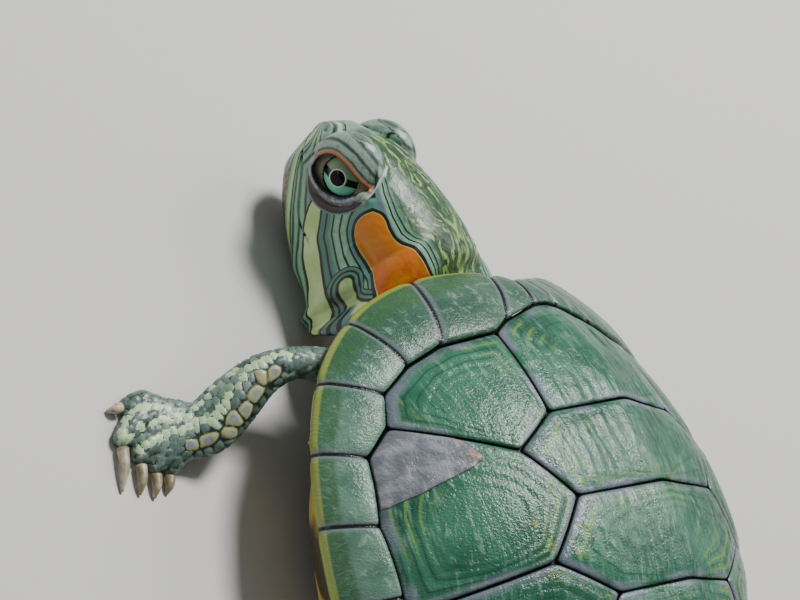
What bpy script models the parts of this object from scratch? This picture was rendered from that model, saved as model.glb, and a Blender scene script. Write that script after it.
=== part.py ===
"""A young red-eared slider turtle, life size, as a still museum model.

Sizes are in shell lengths unless a name says otherwise, in the turtle's own
upright frame: x to its left, y to its back, z up, from the middle of the shell
at the height of its rim. stand() tips that frame nose-up and sets it on the
floor, in metres.
"""

import math

import bmesh
import bpy
from mathutils import Matrix, Vector

# Driving sizes
SHELL_LENGTH = 0.050
GAP = 0.006
FLOOR_DROP = 0.165
NOSE_UP = math.radians(8.0)
ORIGIN_SHIFT = Vector((0.00041, 0.00336, 0.0))
COLLECTION = "red_eared_slider"
UP = Vector((0, 0, 1))

# Dome of the carapace
DOME_HALF_WIDTH = 0.4888
DOME_HALF_LENGTH = 0.5
DOME_HEIGHT = 0.278
DOME_SQUARENESS = 1.933
DOME_ROUNDNESS = 2.52
DOME_REAR_WIDENING = 0.159
DOME_REAR_LIFT = 0.376
DOME_END_LIFT = 0.078
KEEL_HEIGHT = 0.0124
KEEL_WIDTH = 0.05
SCUTE_THICKNESS = 0.02
RIM_THICKNESS = 0.014

# Left half of the rim, nose to tail: x, y, z of its edge
RIM = [(0.0, -0.456, 0.070), (0.100, -0.470, 0.040), (0.212, -0.456, 0.009),
       (0.318, -0.407, -0.010), (0.408, -0.319, -0.013), (0.463, -0.206, -0.003),
       (0.487, -0.086, 0.008), (0.487, 0.042, 0.014), (0.467, 0.165, 0.016),
       (0.420, 0.280, 0.016), (0.330, 0.382, 0.016), (0.190, 0.458, 0.018),
       (0.070, 0.487, 0.020), (0.0, 0.486, 0.021)]

# Left half of the seam between the rim scutes and the rest: name, x, y
SEAM = [("seam_front", 0.0, -0.402), ("n_m1", 0.031, -0.398),
        ("m1_m2", 0.112, -0.368), ("m2_v1", 0.146, -0.347),
        ("m2_m3", 0.244, -0.331), ("m3_m4", 0.302, -0.303),
        ("m4_m5", 0.350, -0.262), ("p1_p2", 0.371, -0.208),
        ("m5_m6", 0.407, -0.166), ("m6_m7", 0.426, -0.061),
        ("m7_m8", 0.421, 0.046), ("p2_p3", 0.416, 0.072),
        ("m8_m9", 0.402, 0.155), ("p3_p4", 0.377, 0.222),
        ("m9_m10", 0.346, 0.270), ("m10_m11", 0.272, 0.346),
        ("p4_v5", 0.212, 0.379), ("m11_m12", 0.145, 0.401),
        ("seam_back", 0.0, 0.416)]

# Corners of the vertebral scutes on the left, and seams' middles on the keel
CORNERS = {"v1_v2": (0.156, -0.202), "v2_side": (0.232, -0.144),
           "v2_v3": (0.175, -0.065), "v3_side": (0.240, 0.030),
           "v3_v4": (0.144, 0.087), "v4_side": (0.202, 0.168),
           "v4_v5": (0.128, 0.262),
           "keel_12": (0.0, -0.217), "keel_23": (0.0, -0.077),
           "keel_34": (0.0, 0.079), "keel_45": (0.0, 0.250)}
CORNERS.update({name: (x, y) for name, x, y in SEAM})

# Seams that bow, towards the right hand of one going from the first corner
SEAM_BOWS = {("m2_v1", "v1_v2"): 0.012}

# Left half of each vertebral scute, from the keel round to the keel
VERTEBRALS = [("seam_front", "n_m1", "m1_m2", "m2_v1", "v1_v2", "keel_12"),
              ("keel_12", "v1_v2", "v2_side", "v2_v3", "keel_23"),
              ("keel_23", "v2_v3", "v3_side", "v3_v4", "keel_34"),
              ("keel_34", "v3_v4", "v4_side", "v4_v5", "keel_45"),
              ("keel_45", "v4_v5", "p4_v5", "m11_m12", "seam_back")]
PLEURALS = [("m2_v1", "m2_m3", "m3_m4", "m4_m5", "p1_p2", "v2_side", "v1_v2"),
            ("p1_p2", "m5_m6", "m6_m7", "m7_m8", "p2_p3", "v3_side", "v2_v3",
             "v2_side"),
            ("p2_p3", "m8_m9", "p3_p4", "v4_side", "v3_v4", "v3_side"),
            ("p3_p4", "m9_m10", "m10_m11", "p4_v5", "v4_v5", "v4_side")]

# Plastron: left half of its outline, and its form
PLASTRON = [(0.0, -0.415), (0.10, -0.410), (0.185, -0.372), (0.228, -0.31),
            (0.245, -0.25), (0.33, -0.235), (0.41, -0.195), (0.442, -0.10),
            (0.446, 0.0), (0.434, 0.09), (0.37, 0.155), (0.255, 0.185),
            (0.240, 0.26), (0.215, 0.335), (0.15, 0.395), (0.05, 0.41),
            (0.0, 0.395)]
PLASTRON_Z = -0.13
PLASTRON_THICKNESS = 0.024
BRIDGE_RISE = 0.100
BRIDGE_START = 0.70
BRIDGE_FRONT_Y = -0.235
BRIDGE_BACK_Y = 0.165
HIND_LOBE_Y = 0.25
HIND_LOBE_CURL = 1.15
FRONT_LOBE_Y = -0.25
FRONT_LOBE_CURL = 0.1

# Head: its frame, then sections from the neck to the snout, in head widths
HEAD_WIDTH = 0.221
HEAD_CENTRE = Vector((0.171, -0.676, -0.070))
HEAD_YAW = math.radians(22.4)
HEAD_PITCH = math.radians(-8.6)
HEAD_ROLL = math.radians(12.9)
# forward, half width, top, bottom, and how far the throat leans to the left
HEAD_SECTIONS = [(-0.80, 0.55, 0.41, -0.82, 0.65), (-0.67, 0.52, 0.40, -0.84, 0.47),
                 (-0.53, 0.50, 0.40, -0.84, 0.35), (-0.36, 0.49, 0.38, -0.84, 0.21),
                 (-0.20, 0.47, 0.38, -0.82, 0.08), (0.0, 0.42, 0.33, -0.78, 0.0),
                 (0.15, 0.35, 0.28, -0.68, 0.0), (0.285, 0.27, 0.20, -0.58, 0.0),
                 (0.37, 0.20, 0.12, -0.50, 0.0), (0.43, 0.13, 0.05, -0.37, 0.0)]
HEAD_SQUARENESS = 2.3
SNOUT_TIP = (0.48, 0.0, -0.08)
LID_RADIUS = 0.31
LID_FLATNESS = 0.58
LID_CENTRE = (0.0, 0.29, 0.0)
EYE_RADIUS = 0.18
EYE_CENTRE = (0.02, 0.29, -0.02)
SOCKET_CLEARANCE = 0.024
MOUTH_HEIGHT = -0.36
MOUTH_CORNER = -0.28
MOUTH_GAP = 0.024

# Flesh: stations of (x, y, z, half width, half height), base to tip
# neck: middle (x, y, z), half width, half height, turn to the left and tilt in degrees
NECK = [(0.055, -0.350, -0.046, 0.150, 0.044, 0, 5), (0.075, -0.378, -0.047, 0.155, 0.045, 4, 8),
        (0.108, -0.405, -0.052, 0.160, 0.044, 9, 12), (0.140, -0.433, -0.059, 0.165, 0.039, 13, 16),
        (0.150, -0.458, -0.067, 0.168, 0.044, 17, 18)]
TAIL = [(0.0, 0.365, -0.052, 0.048, 0.026), (-0.002, 0.43, -0.052, 0.036, 0.026),
        (-0.018, 0.50, -0.060, 0.022, 0.020), (-0.052, 0.565, -0.070, 0.012, 0.012),
        (-0.088, 0.61, -0.068, 0.006, 0.006)]
TRUNK_HALF_WIDTH = 0.30
TRUNK_HALF_LENGTH = 0.33
TRUNK_SQUARENESS = 2.6
UPPER_ARM = [(0.300, -0.310, -0.068, 0.040, 0.034), (0.352, -0.334, -0.070, 0.030, 0.029),
             (0.406, -0.341, -0.076, 0.025, 0.025)]
FOREARM = [(0.456, -0.327, -0.100, 0.033, 0.026), (0.497, -0.293, -0.126, 0.042, 0.027),
           (0.529, -0.262, -0.148, 0.044, 0.025)]
PALM = [(0.553, -0.254, -0.162, 0.043, 0.023), (0.590, -0.258, -0.176, 0.050, 0.021),
        (0.630, -0.258, -0.185, 0.047, 0.018), (0.650, -0.256, -0.188, 0.034, 0.013)]
# Fingers, inner to outer: three places along the floor, thickness, claw tip
FINGERS = [((0.590, -0.290), (0.622, -0.304), (0.648, -0.300), 0.0185, (0.682, -0.293)),
           ((0.602, -0.270), (0.640, -0.275), (0.672, -0.250), 0.0200, (0.688, -0.170)),
           ((0.596, -0.250), (0.624, -0.242), (0.645, -0.222), 0.0190, (0.656, -0.164)),
           ((0.580, -0.232), (0.604, -0.221), (0.620, -0.206), 0.0170, (0.630, -0.158)),
           ((0.562, -0.222), (0.580, -0.212), (0.592, -0.200), 0.0145, (0.604, -0.164))]
ARM_FACE = Vector((0.78, 0.06, 0.62))
THIGH = [(0.280, 0.255, -0.066, 0.052, 0.038), (0.330, 0.250, -0.068, 0.050, 0.036),
         (0.385, 0.262, -0.070, 0.046, 0.034)]
SHANK = [(0.430, 0.292, -0.074, 0.040, 0.031), (0.458, 0.330, -0.082, 0.038, 0.029)]
SOLE = [(0.470, 0.372, -0.088, 0.037, 0.025), (0.484, 0.416, -0.092, 0.052, 0.020),
        (0.502, 0.466, -0.088, 0.062, 0.016), (0.512, 0.492, -0.085, 0.058, 0.012)]
TOES = [((0.466, 0.458), (0.462, 0.496), (0.460, 0.520), 0.0165, (0.460, 0.572)),
        ((0.486, 0.470), (0.490, 0.516), (0.494, 0.546), 0.0175, (0.500, 0.602)),
        ((0.508, 0.474), (0.520, 0.518), (0.530, 0.548), 0.0175, (0.544, 0.602)),
        ((0.530, 0.462), (0.550, 0.498), (0.566, 0.522), 0.0165, (0.590, 0.566))]
RIGHT_ARM_TURN = math.radians(24.0)
RIGHT_LEG_TURN = math.radians(-14.0)
CLAW_ROOT = 0.0095

# Mesh fineness
LIMB_SIDES = 10
FINGER_SIDES = 6
CLAW_SIDES = 5
HEAD_SIDES = 16
RIM_STEPS = 26
SHELL_STEPS = 34

PALETTE = {"shell_green": ((0.09, 0.17, 0.09), 0.38),
           "rim_green": ((0.16, 0.24, 0.13), 0.42),
           "shell_bed": ((0.03, 0.035, 0.03), 0.6),
           "plastron_yellow": ((0.62, 0.47, 0.12), 0.45),
           "skin_green": ((0.12, 0.18, 0.11), 0.55),
           "eye_gloss": ((0.02, 0.03, 0.02), 0.08),
           "claw_horn": ((0.36, 0.31, 0.20), 0.4)}


def stand(point):
    """A point of the turtle's own frame, on the floor, in metres."""
    tipped = Matrix.Rotation(-NOSE_UP, 3, "X") @ Vector(point)
    tipped.z += FLOOR_DROP
    return tipped * SHELL_LENGTH + ORIGIN_SHIFT


def smooth_line(points, steps):
    """Points along a Catmull-Rom curve through the given ones."""
    ends = [2 * points[0] - points[1]] + points + [2 * points[-1] - points[-2]]
    line = []
    for i in range(len(points) - 1):
        a, b, c, d = ends[i:i + 4]
        for k in range(steps):
            t = k / steps
            line.append(0.5 * (2 * b + (c - a) * t + (2 * a - 5 * b + 4 * c - d) * t * t
                               + (3 * b - a - 3 * c + d) * t ** 3))
    line.append(points[-1])
    return line


def ring_at(half, angle):
    """Radius and height where a ray from the shell's middle meets an outline."""
    folded = min(abs(angle), math.pi - 1e-6)
    ray = Vector((math.sin(folded), -math.cos(folded)))
    for a, b in zip(half, half[1:]):
        along = b.xy - a.xy
        across = ray.cross(along)
        if abs(across) < 1e-12:
            continue
        radius = a.xy.cross(along) / across
        share = a.xy.cross(ray) / across
        if radius > 0 and -1e-6 <= share <= 1 + 1e-6:
            return radius, a.z + (b.z - a.z) * share
    raise ValueError(f"no outline at {angle}")


def at_angle(radius, angle):
    """Plan position at a radius from the shell's middle, angle 0 at the nose."""
    return radius * math.sin(angle), -radius * math.cos(angle)


def dome(x, y):
    """Height of the carapace inside the rim scutes."""
    half_width = DOME_HALF_WIDTH * (1 + DOME_REAR_WIDENING * y)
    reach = (abs(x / half_width) ** DOME_SQUARENESS
             + abs(y / DOME_HALF_LENGTH) ** DOME_SQUARENESS) ** (1 / DOME_SQUARENESS)
    reach = min(reach, 1.0)
    height = DOME_HEIGHT * (1 - reach ** DOME_ROUNDNESS) * (1 + DOME_REAR_LIFT * y)
    keel = KEEL_HEIGHT * math.exp(-(x / KEEL_WIDTH) ** 2) * (1 - reach ** 4)
    return height + keel + DOME_END_LIFT * y * y * reach


def dome_normal(x, y):
    """Outward direction of the dome, from its slopes."""
    step = 0.004
    slope_x = (dome(x + step, y) - dome(x - step, y)) / (2 * step)
    slope_y = (dome(x, y + step) - dome(x, y - step)) / (2 * step)
    return Vector((-slope_x, -slope_y, 1)).normalized()


RIM_LINE = smooth_line([Vector(p) for p in RIM], 4)
SEAM_LINE = [Vector((x, y, dome(x, y))) for _, x, y in SEAM]


def new_object(name, mesh_data, colour):
    """A named object of the part, with its own material."""
    thing = bpy.data.objects.new(name, mesh_data)
    base, roughness = PALETTE[colour]
    material = bpy.data.materials.new(name)
    material.use_nodes = True
    shader = material.node_tree.nodes["Principled BSDF"]
    shader.inputs["Base Color"].default_value = (*base, 1)
    shader.inputs["Roughness"].default_value = roughness
    mesh_data.materials.clear()
    mesh_data.materials.append(material)
    bpy.data.collections[COLLECTION].objects.link(thing)
    return thing


def finish_mesh(form, name):
    """Close, orient and store a bmesh, flat where it meets the floor."""
    for vertex in form.verts:
        vertex.co.z = max(vertex.co.z, 0.0)
    bmesh.ops.remove_doubles(form, verts=form.verts, dist=2e-6)
    bmesh.ops.recalc_face_normals(form, faces=form.faces)
    mesh_data = bpy.data.meshes.new(name)
    form.to_mesh(mesh_data)
    form.free()
    mesh_data.shade_smooth()
    mesh_data.set_sharp_from_angle(angle=math.radians(35))
    return mesh_data


def loft(form, rings):
    """Join rings of points into a closed body; one-point rings make tips."""
    rows = [[form.verts.new(p) for p in ring] for ring in rings]
    for low, high in zip(rows, rows[1:]):
        count = max(len(low), len(high))
        for k in range(count):
            corners = [low[k % len(low)], low[(k + 1) % len(low)],
                       high[(k + 1) % len(high)], high[k % len(high)]]
            unique = list(dict.fromkeys(corners))
            form.faces.new(unique)
    for row in (rows[0], rows[-1]):
        if len(row) > 2:
            form.faces.new(row)


def tube_rings(stations, sides, faces, steps=2, cuts=(), round_end=False):
    """Elliptic rings along stations of (x, y, z, half width, half height).

    faces is the way the flat side looks, one direction or one per station.
    cuts names stations where the tube is parted. Returns a list of runs.
    """
    if isinstance(faces, Vector):
        faces = [faces] * len(stations)
    line = smooth_line([Vector(s) for s in stations], steps)
    looks = smooth_line(list(faces), steps)
    centres = [v if len(v) == 3 else Vector(v[:3]) for v in line]
    breaks = {cut * steps for cut in cuts}
    runs = [[]]
    for i, centre in enumerate(centres):
        along = (centres[min(i + 1, len(line) - 1)] - centres[max(i - 1, 0)]).normalized()
        side = looks[i].cross(along).normalized()
        top = along.cross(side)
        wide, high = line[i][3], line[i][4]

        def ring(ahead, share=1.0):
            return [stand(centre + along * ahead
                          + side * wide * share * math.cos(math.tau * k / sides)
                          + top * high * share * math.sin(math.tau * k / sides))
                    for k in range(sides)]

        if i in breaks:
            runs[-1].append(ring(-GAP / 2))
            runs.append([ring(GAP / 2)])
        else:
            runs[-1].append(ring(0.0))
    if round_end:
        for turn in (0.5, 0.85):
            angle = turn * math.pi / 2
            runs[-1].append(ring(high * math.sin(angle), math.cos(angle)))
        runs[-1].append([stand(centre + along * high)])
    return runs


def boolean(base, tool, operation):
    """Apply an exact boolean to a mesh and return the new mesh."""
    holder = bpy.data.objects.new("base", base)
    cutter = bpy.data.objects.new("tool", tool)
    for thing in (holder, cutter):
        bpy.context.scene.collection.objects.link(thing)
    change = holder.modifiers.new("cut", "BOOLEAN")
    change.operation = operation
    change.object = cutter
    change.solver = "EXACT"
    graph = bpy.context.evaluated_depsgraph_get()
    result = bpy.data.meshes.new_from_object(holder.evaluated_get(graph))
    for thing in (holder, cutter):
        bpy.data.objects.remove(thing)
    return result


def mirrored(name, source, turn, pivot):
    """The right-hand copy of a left-hand piece, turned about an upright axis."""
    copy = source.copy()
    middle = ORIGIN_SHIFT.x
    flip = (Matrix.Translation((middle, 0, 0)) @ Matrix.Scale(-1, 4, (1, 0, 0))
            @ Matrix.Translation((-middle, 0, 0)))
    hinge = flip @ stand(pivot)
    about = Matrix.Translation(hinge) @ Matrix.Rotation(turn, 4, "Z") @ Matrix.Translation(-hinge)
    copy.transform(about @ flip)
    copy.flip_normals()
    copy.name = name
    return copy


def core():
    """The bony dome that the scutes lie on."""
    form = bmesh.new()
    shares = (1.0, 0.9, 0.7, 0.4)
    angles = [math.tau * k / SHELL_STEPS for k in range(SHELL_STEPS)]
    bottom, top = [], []
    for share in shares:
        low, high = [], []
        for angle in angles:
            turn = math.remainder(angle, math.tau)
            radius = (ring_at(SEAM_LINE, turn)[0] - GAP / 2) * share
            x, y = at_angle(radius, turn)
            skin = Vector((x, y, dome(x, y)))
            high.append(skin - dome_normal(x, y) * (SCUTE_THICKNESS + GAP))
            low.append(Vector((x, y, core_floor(turn, share))))
        top.append([stand(p) for p in high])
        bottom.append([stand(p) for p in low])
    crown = stand((0, 0, dome(0, 0) - SCUTE_THICKNESS - GAP))
    base = stand((0, 0, core_floor(0, 0)))
    loft(form, [[base]] + bottom[::-1] + top + [[crown]])
    return new_object("carapace", finish_mesh(form, "carapace"), "shell_bed")


def core_floor(angle, share):
    """Height of the underside of the carapace core."""
    return ring_at(RIM_LINE, angle)[1] * share ** 2 - RIM_THICKNESS


def scute_outline(names, mirror):
    """Plan outline of a scute from its corners, its bowed seams as arcs."""
    points = []
    loop = list(names)
    for a, b in zip(loop, loop[1:] + loop[:1]):
        start, end = Vector(CORNERS[a]), Vector(CORNERS[b])
        if mirror and a == loop[-1]:
            points.append(start)
            continue
        bow = SEAM_BOWS.get((a, b), 0.0) - SEAM_BOWS.get((b, a), 0.0)
        along = end - start
        steps = max(1, round(along.length / 0.06))
        aside = Vector((-along.y, along.x)).normalized()
        for k in range(steps):
            t = k / steps
            points.append(start + along * t + aside * bow * 4 * t * (1 - t))
    if mirror:
        points += [Vector((-p.x, p.y)) for p in points[-2:0:-1]]
    return points


def scute(name, outline, side=1):
    """One horny plate that follows the dome over its outline."""
    form = bmesh.new()
    centre = sum(outline, Vector((0, 0))) / len(outline)
    rims = []
    for share in (1.0, 0.55):
        ring = []
        for point in outline:
            spoke = point - centre
            spot = centre + spoke * (1 - GAP / 2 / spoke.length) * share
            ring.append(spot)
        rims.append(ring)
    top, bottom = [], []
    for ring in rims:
        top.append([plate_point(p, 0.0, side) for p in ring])
        bottom.append([plate_point(p, SCUTE_THICKNESS, side) for p in ring])
    tip = [plate_point(centre, 0.0, side)]
    root = [plate_point(centre, SCUTE_THICKNESS, side)]
    loft(form, [root] + bottom[::-1] + top + [tip])
    return new_object(name, finish_mesh(form, name), "shell_green")


def plate_point(spot, depth, side):
    """A point of a scute, at a depth below the outer surface."""
    x, y = spot
    point = Vector((x, y, dome(x, y))) - dome_normal(x, y) * depth
    return stand((side * point.x, point.y, point.z))


def scutes():
    """Vertebrals along the keel and pleurals on both sides."""
    for number, names in enumerate(VERTEBRALS, 1):
        scute(f"vertebral_{number}", scute_outline(names, True))
    for number, names in enumerate(PLEURALS, 1):
        outline = scute_outline(names, False)
        scute(f"pleural_left_{number}", outline)
        scute(f"pleural_right_{number}", outline, -1)


def rim_strip(name, first, last, steps):
    """A run of rim scutes between two angles, as one closed strip."""
    form = bmesh.new()
    rings = []
    for k in range(steps + 1):
        angle = first + (last - first) * k / steps
        inner, _ = ring_at(SEAM_LINE, angle)
        outer, edge = ring_at(RIM_LINE, angle)
        inner += GAP / 2
        height = dome(*at_angle(inner, angle))
        section = [(inner, height), (inner + (outer - inner) * 0.5, height + (edge - height) * 0.42),
                   (outer, edge), (outer - 0.006, edge - RIM_THICKNESS),
                   (inner, min(edge, height - 0.01) - RIM_THICKNESS)]
        rings.append([stand((*at_angle(r, angle), z)) for r, z in section])
    loft(form, rings)
    return new_object(name, finish_mesh(form, name), "rim_green")


def rim():
    """The nuchal scute and the rim scutes of each side."""
    half = math.atan2(0.02, 0.48)
    seam = GAP
    rim_strip("nuchal", -half, half, 2)
    rim_strip("marginals_left", half + seam, math.pi - seam, RIM_STEPS)
    rim_strip("marginals_right", -half - seam, seam - math.pi, RIM_STEPS)


def plastron_height(x, y):
    """Outer surface of the plastron: flat, its two lobes curling up a little."""
    hind = max(0.0, y - HIND_LOBE_Y) ** 2 * HIND_LOBE_CURL
    front = max(0.0, FRONT_LOBE_Y - y) ** 2 * FRONT_LOBE_CURL
    return PLASTRON_Z + hind + front


def plastron():
    """Lower shell with the bridges that rise to the rim at the sides."""
    outline = smooth_line([Vector((x, y, 0)) for x, y in PLASTRON], 2)
    form = bmesh.new()
    rows = []
    for share in (1.0, 0.94, 0.86, 0.7, 0.4):
        row = []
        for k in range(SHELL_STEPS):
            angle = math.remainder(math.tau * k / SHELL_STEPS, math.tau)
            radius, _ = ring_at(outline, angle)
            x, y = at_angle(radius * share, angle)
            edge_y = at_angle(radius, angle)[1]
            inside = min(edge_y - BRIDGE_FRONT_Y, BRIDGE_BACK_Y - edge_y)
            bridge = min(max(inside / 0.05, 0.0), 1.0)
            turn = max(0.0, (share - BRIDGE_START) / (1 - BRIDGE_START)) * math.pi / 2
            rise = BRIDGE_RISE * (1 - math.cos(turn)) * bridge
            wall = BRIDGE_START + (1 - BRIDGE_START) * math.sin(turn)
            bulge = 1 + bridge * (wall / share - 1) * (share > BRIDGE_START)
            row.append(stand((x * bulge, y, plastron_height(x, y) + rise)))
        rows.append([form.verts.new(p) for p in row])
    middle = form.verts.new(stand((0, 0, PLASTRON_Z)))
    for low, high in zip(rows, rows[1:]):
        for k in range(SHELL_STEPS):
            after = (k + 1) % SHELL_STEPS
            form.faces.new((low[k], low[after], high[after], high[k]))
    for k in range(SHELL_STEPS):
        form.faces.new((rows[-1][k], rows[-1][(k + 1) % SHELL_STEPS], middle))
    bmesh.ops.recalc_face_normals(form, faces=form.faces)
    if middle.normal.z > 0:
        bmesh.ops.reverse_faces(form, faces=form.faces)
    bmesh.ops.solidify(form, geom=form.faces[:], thickness=PLASTRON_THICKNESS * SHELL_LENGTH)
    return new_object("plastron", finish_mesh(form, "plastron"), "plastron_yellow")


def trunk():
    """Flesh between the carapace core and the plastron."""
    form = bmesh.new()
    top, bottom = [], []
    steps = 20
    for share in (1.0, 0.86, 0.5):
        low, high = [], []
        for k in range(steps):
            angle = math.remainder(math.tau * k / steps, math.tau)
            radius = share * trunk_radius(angle)
            x, y = at_angle(radius, angle)
            pinch = 0.02 if share == 1.0 else 0.0
            roof = core_floor(angle, radius / ring_at(SEAM_LINE, angle)[0])
            high.append(stand((x, y, roof - GAP - pinch)))
            low.append(stand((x, y, plastron_height(x, y) + PLASTRON_THICKNESS + GAP + pinch)))
        top.append(high)
        bottom.append(low)
    tip = [stand((0, 0, core_floor(0, 0) - GAP))]
    root = [stand((0, 0, PLASTRON_Z + PLASTRON_THICKNESS + GAP))]
    loft(form, [root] + bottom[::-1] + top + [tip])
    return new_object("trunk", finish_mesh(form, "trunk"), "skin_green")


def trunk_radius(angle):
    """Plan outline of the trunk, drawn in where the limbs and neck begin."""
    x, y = math.sin(angle) / TRUNK_HALF_WIDTH, math.cos(angle) / TRUNK_HALF_LENGTH
    return (abs(x) ** TRUNK_SQUARENESS + abs(y) ** TRUNK_SQUARENESS) ** (-1 / TRUNK_SQUARENESS)


def head_axes():
    """Forward, left and up directions of the head, in the turtle's frame."""
    forward = Vector((math.sin(HEAD_YAW) * math.cos(HEAD_PITCH),
                      -math.cos(HEAD_YAW) * math.cos(HEAD_PITCH), math.sin(HEAD_PITCH)))
    level_left = Vector((0, 0, 1)).cross(forward).normalized()
    level_up = forward.cross(level_left)
    left = level_left * math.cos(HEAD_ROLL) + level_up * math.sin(HEAD_ROLL)
    return forward, left, forward.cross(left)


def head_point(ahead, aside, above):
    """A point in head widths from between the eyes, in metres on the floor."""
    forward, left, up = head_axes()
    offset = forward * ahead + left * aside + up * above
    return stand(HEAD_CENTRE + offset * HEAD_WIDTH)


def head_ring(ahead, half_width, top, bottom, lean):
    """One rounded section of the head, its throat leaning to the left."""
    middle = (top * 0.6 + bottom * 0.4)
    ring = []
    for k in range(HEAD_SIDES):
        turn = math.tau * k / HEAD_SIDES
        cos, sin = math.cos(turn), math.sin(turn)
        power = 2 / HEAD_SQUARENESS
        aside = half_width * math.copysign(abs(cos) ** power, cos)
        reach = (top - middle) if sin > 0 else (middle - bottom)
        above = middle + reach * math.copysign(abs(sin) ** power, sin)
        aside += lean * max(0.0, middle - above)
        ring.append(head_point(ahead, aside, above))
    return ring


def head_ball(centre, radius, side, flatness=1.0):
    """A sphere in the head's frame, or one flattened from side to side."""
    form = bmesh.new()
    bmesh.ops.create_uvsphere(form, u_segments=12, v_segments=8, radius=radius)
    for vertex in form.verts:
        spot = vertex.co
        vertex.co = head_point(centre[0] + spot.x, (centre[1] + spot.y * flatness) * side,
                               centre[2] + spot.z)
    return finish_mesh(form, "ball")


def mouth_block(margin):
    """The block that parts the lower jaw from the head."""
    form = bmesh.new()
    back, front = MOUTH_CORNER - margin, 0.7
    low, high = -1.0, MOUTH_HEIGHT + margin
    wide = 0.7
    corners = [(-wide, low), (wide, low), (wide, high), (-wide, high)]
    loft(form, [[head_point(back, a, c) for a, c in corners],
                [head_point(front, a, c) for a, c in corners]])
    bmesh.ops.recalc_face_normals(form, faces=form.faces)
    mesh_data = bpy.data.meshes.new("mouth")
    form.to_mesh(mesh_data)
    form.free()
    return mesh_data


def tidy(mesh_data):
    """Remove slivers that a boolean leaves."""
    form = bmesh.new()
    form.from_mesh(mesh_data)
    bmesh.ops.dissolve_degenerate(form, edges=form.edges, dist=1e-6)
    return finish_mesh(form, mesh_data.name)


def head():
    """Head with its lids, its eyes and its lower jaw."""
    form = bmesh.new()
    snout = [head_point(*SNOUT_TIP)]
    loft(form, [head_ring(*section) for section in HEAD_SECTIONS] + [snout])
    skull = finish_mesh(form, "skull")
    for side in (1, -1):
        skull = boolean(skull, head_ball(LID_CENTRE, LID_RADIUS, side, LID_FLATNESS), "UNION")
    for side in (1, -1):
        socket = head_ball(EYE_CENTRE, EYE_RADIUS + SOCKET_CLEARANCE, side)
        skull = boolean(skull, socket, "DIFFERENCE")
    upper = boolean(skull.copy(), mouth_block(MOUTH_GAP / 2), "DIFFERENCE")
    lower = boolean(skull, mouth_block(-MOUTH_GAP / 2), "INTERSECT")
    new_object("head", tidy(upper), "skin_green")
    new_object("lower_jaw", tidy(lower), "skin_green")
    for side, word in ((1, "left"), (-1, "right")):
        new_object(f"eye_{word}", head_ball(EYE_CENTRE, EYE_RADIUS, side), "eye_gloss")


def neck():
    """Neck, from the trunk to the back of the head."""
    rings = []
    for x, y, z, wide, high, turn, tilt in smooth_line([Vector(s) for s in NECK], 2):
        turn, tilt = math.radians(turn), math.radians(tilt)
        left = Vector((math.cos(turn) * math.cos(tilt), math.sin(turn) * math.cos(tilt), -math.sin(tilt)))
        up = Vector((math.sin(tilt), 0, math.cos(tilt)))
        angles = [math.tau * k / HEAD_SIDES for k in range(HEAD_SIDES)]
        rings.append([stand(Vector((x, y, z)) + left * wide * math.cos(a) + up * high * math.sin(a))
                      for a in angles])
    ahead, *section = HEAD_SECTIONS[0]
    form = bmesh.new()
    loft(form, rings + [head_ring(ahead - GAP / HEAD_WIDTH, *section)])
    new_object("neck", finish_mesh(form, "neck"), "skin_green")


def tail():
    """Tail, from the trunk to its tip."""
    form = bmesh.new()
    loft(form, tube_rings(TAIL, LIMB_SIDES, UP, round_end=True)[0])
    new_object("tail", finish_mesh(form, "tail"), "skin_green")


def floor_at(y):
    """Height of the floor in the turtle's frame."""
    return (y * math.sin(NOSE_UP) - FLOOR_DROP) / math.cos(NOSE_UP)


def digit_stations(digit):
    """Stations of one finger or toe along the floor."""
    base, knuckle, tip, thick, _ = digit
    sizes = ((base, thick * 1.0), (knuckle, thick * 1.05), (tip, thick * 0.72))
    return [(x, y, floor_at(y) + size * 0.85, size, size) for (x, y), size in sizes]


def claw_stations(digit):
    """Stations of one claw, from just past the finger to its point."""
    _, knuckle, tip, thick, point = digit
    start, end = Vector(tip), Vector(point)
    ahead = (end - start).normalized()
    root = start + ahead * (thick * 0.72 + GAP)
    middle = root.lerp(end, 0.5)
    high = thick * 0.62
    return [(root.x, root.y, floor_at(root.y) + high, CLAW_ROOT, CLAW_ROOT),
            (middle.x, middle.y, floor_at(middle.y) + high * 1.1, CLAW_ROOT * 0.75, CLAW_ROOT * 0.8),
            (end.x, end.y, floor_at(end.y) + 0.003, 0.003, 0.003)]


def closed_tube(rings, name):
    """A closed mesh of one run of rings."""
    form = bmesh.new()
    loft(form, rings)
    return finish_mesh(form, name)


def paw(rings, digits):
    """A palm or sole joined with its digits, as one closed body."""
    body = closed_tube(rings, "palm")
    for digit in digits:
        runs = tube_rings(digit_stations(digit), FINGER_SIDES, UP, 1, round_end=True)
        body = boolean(body, closed_tube(runs[0], "digit"), "UNION")
    return tidy(body)


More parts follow.
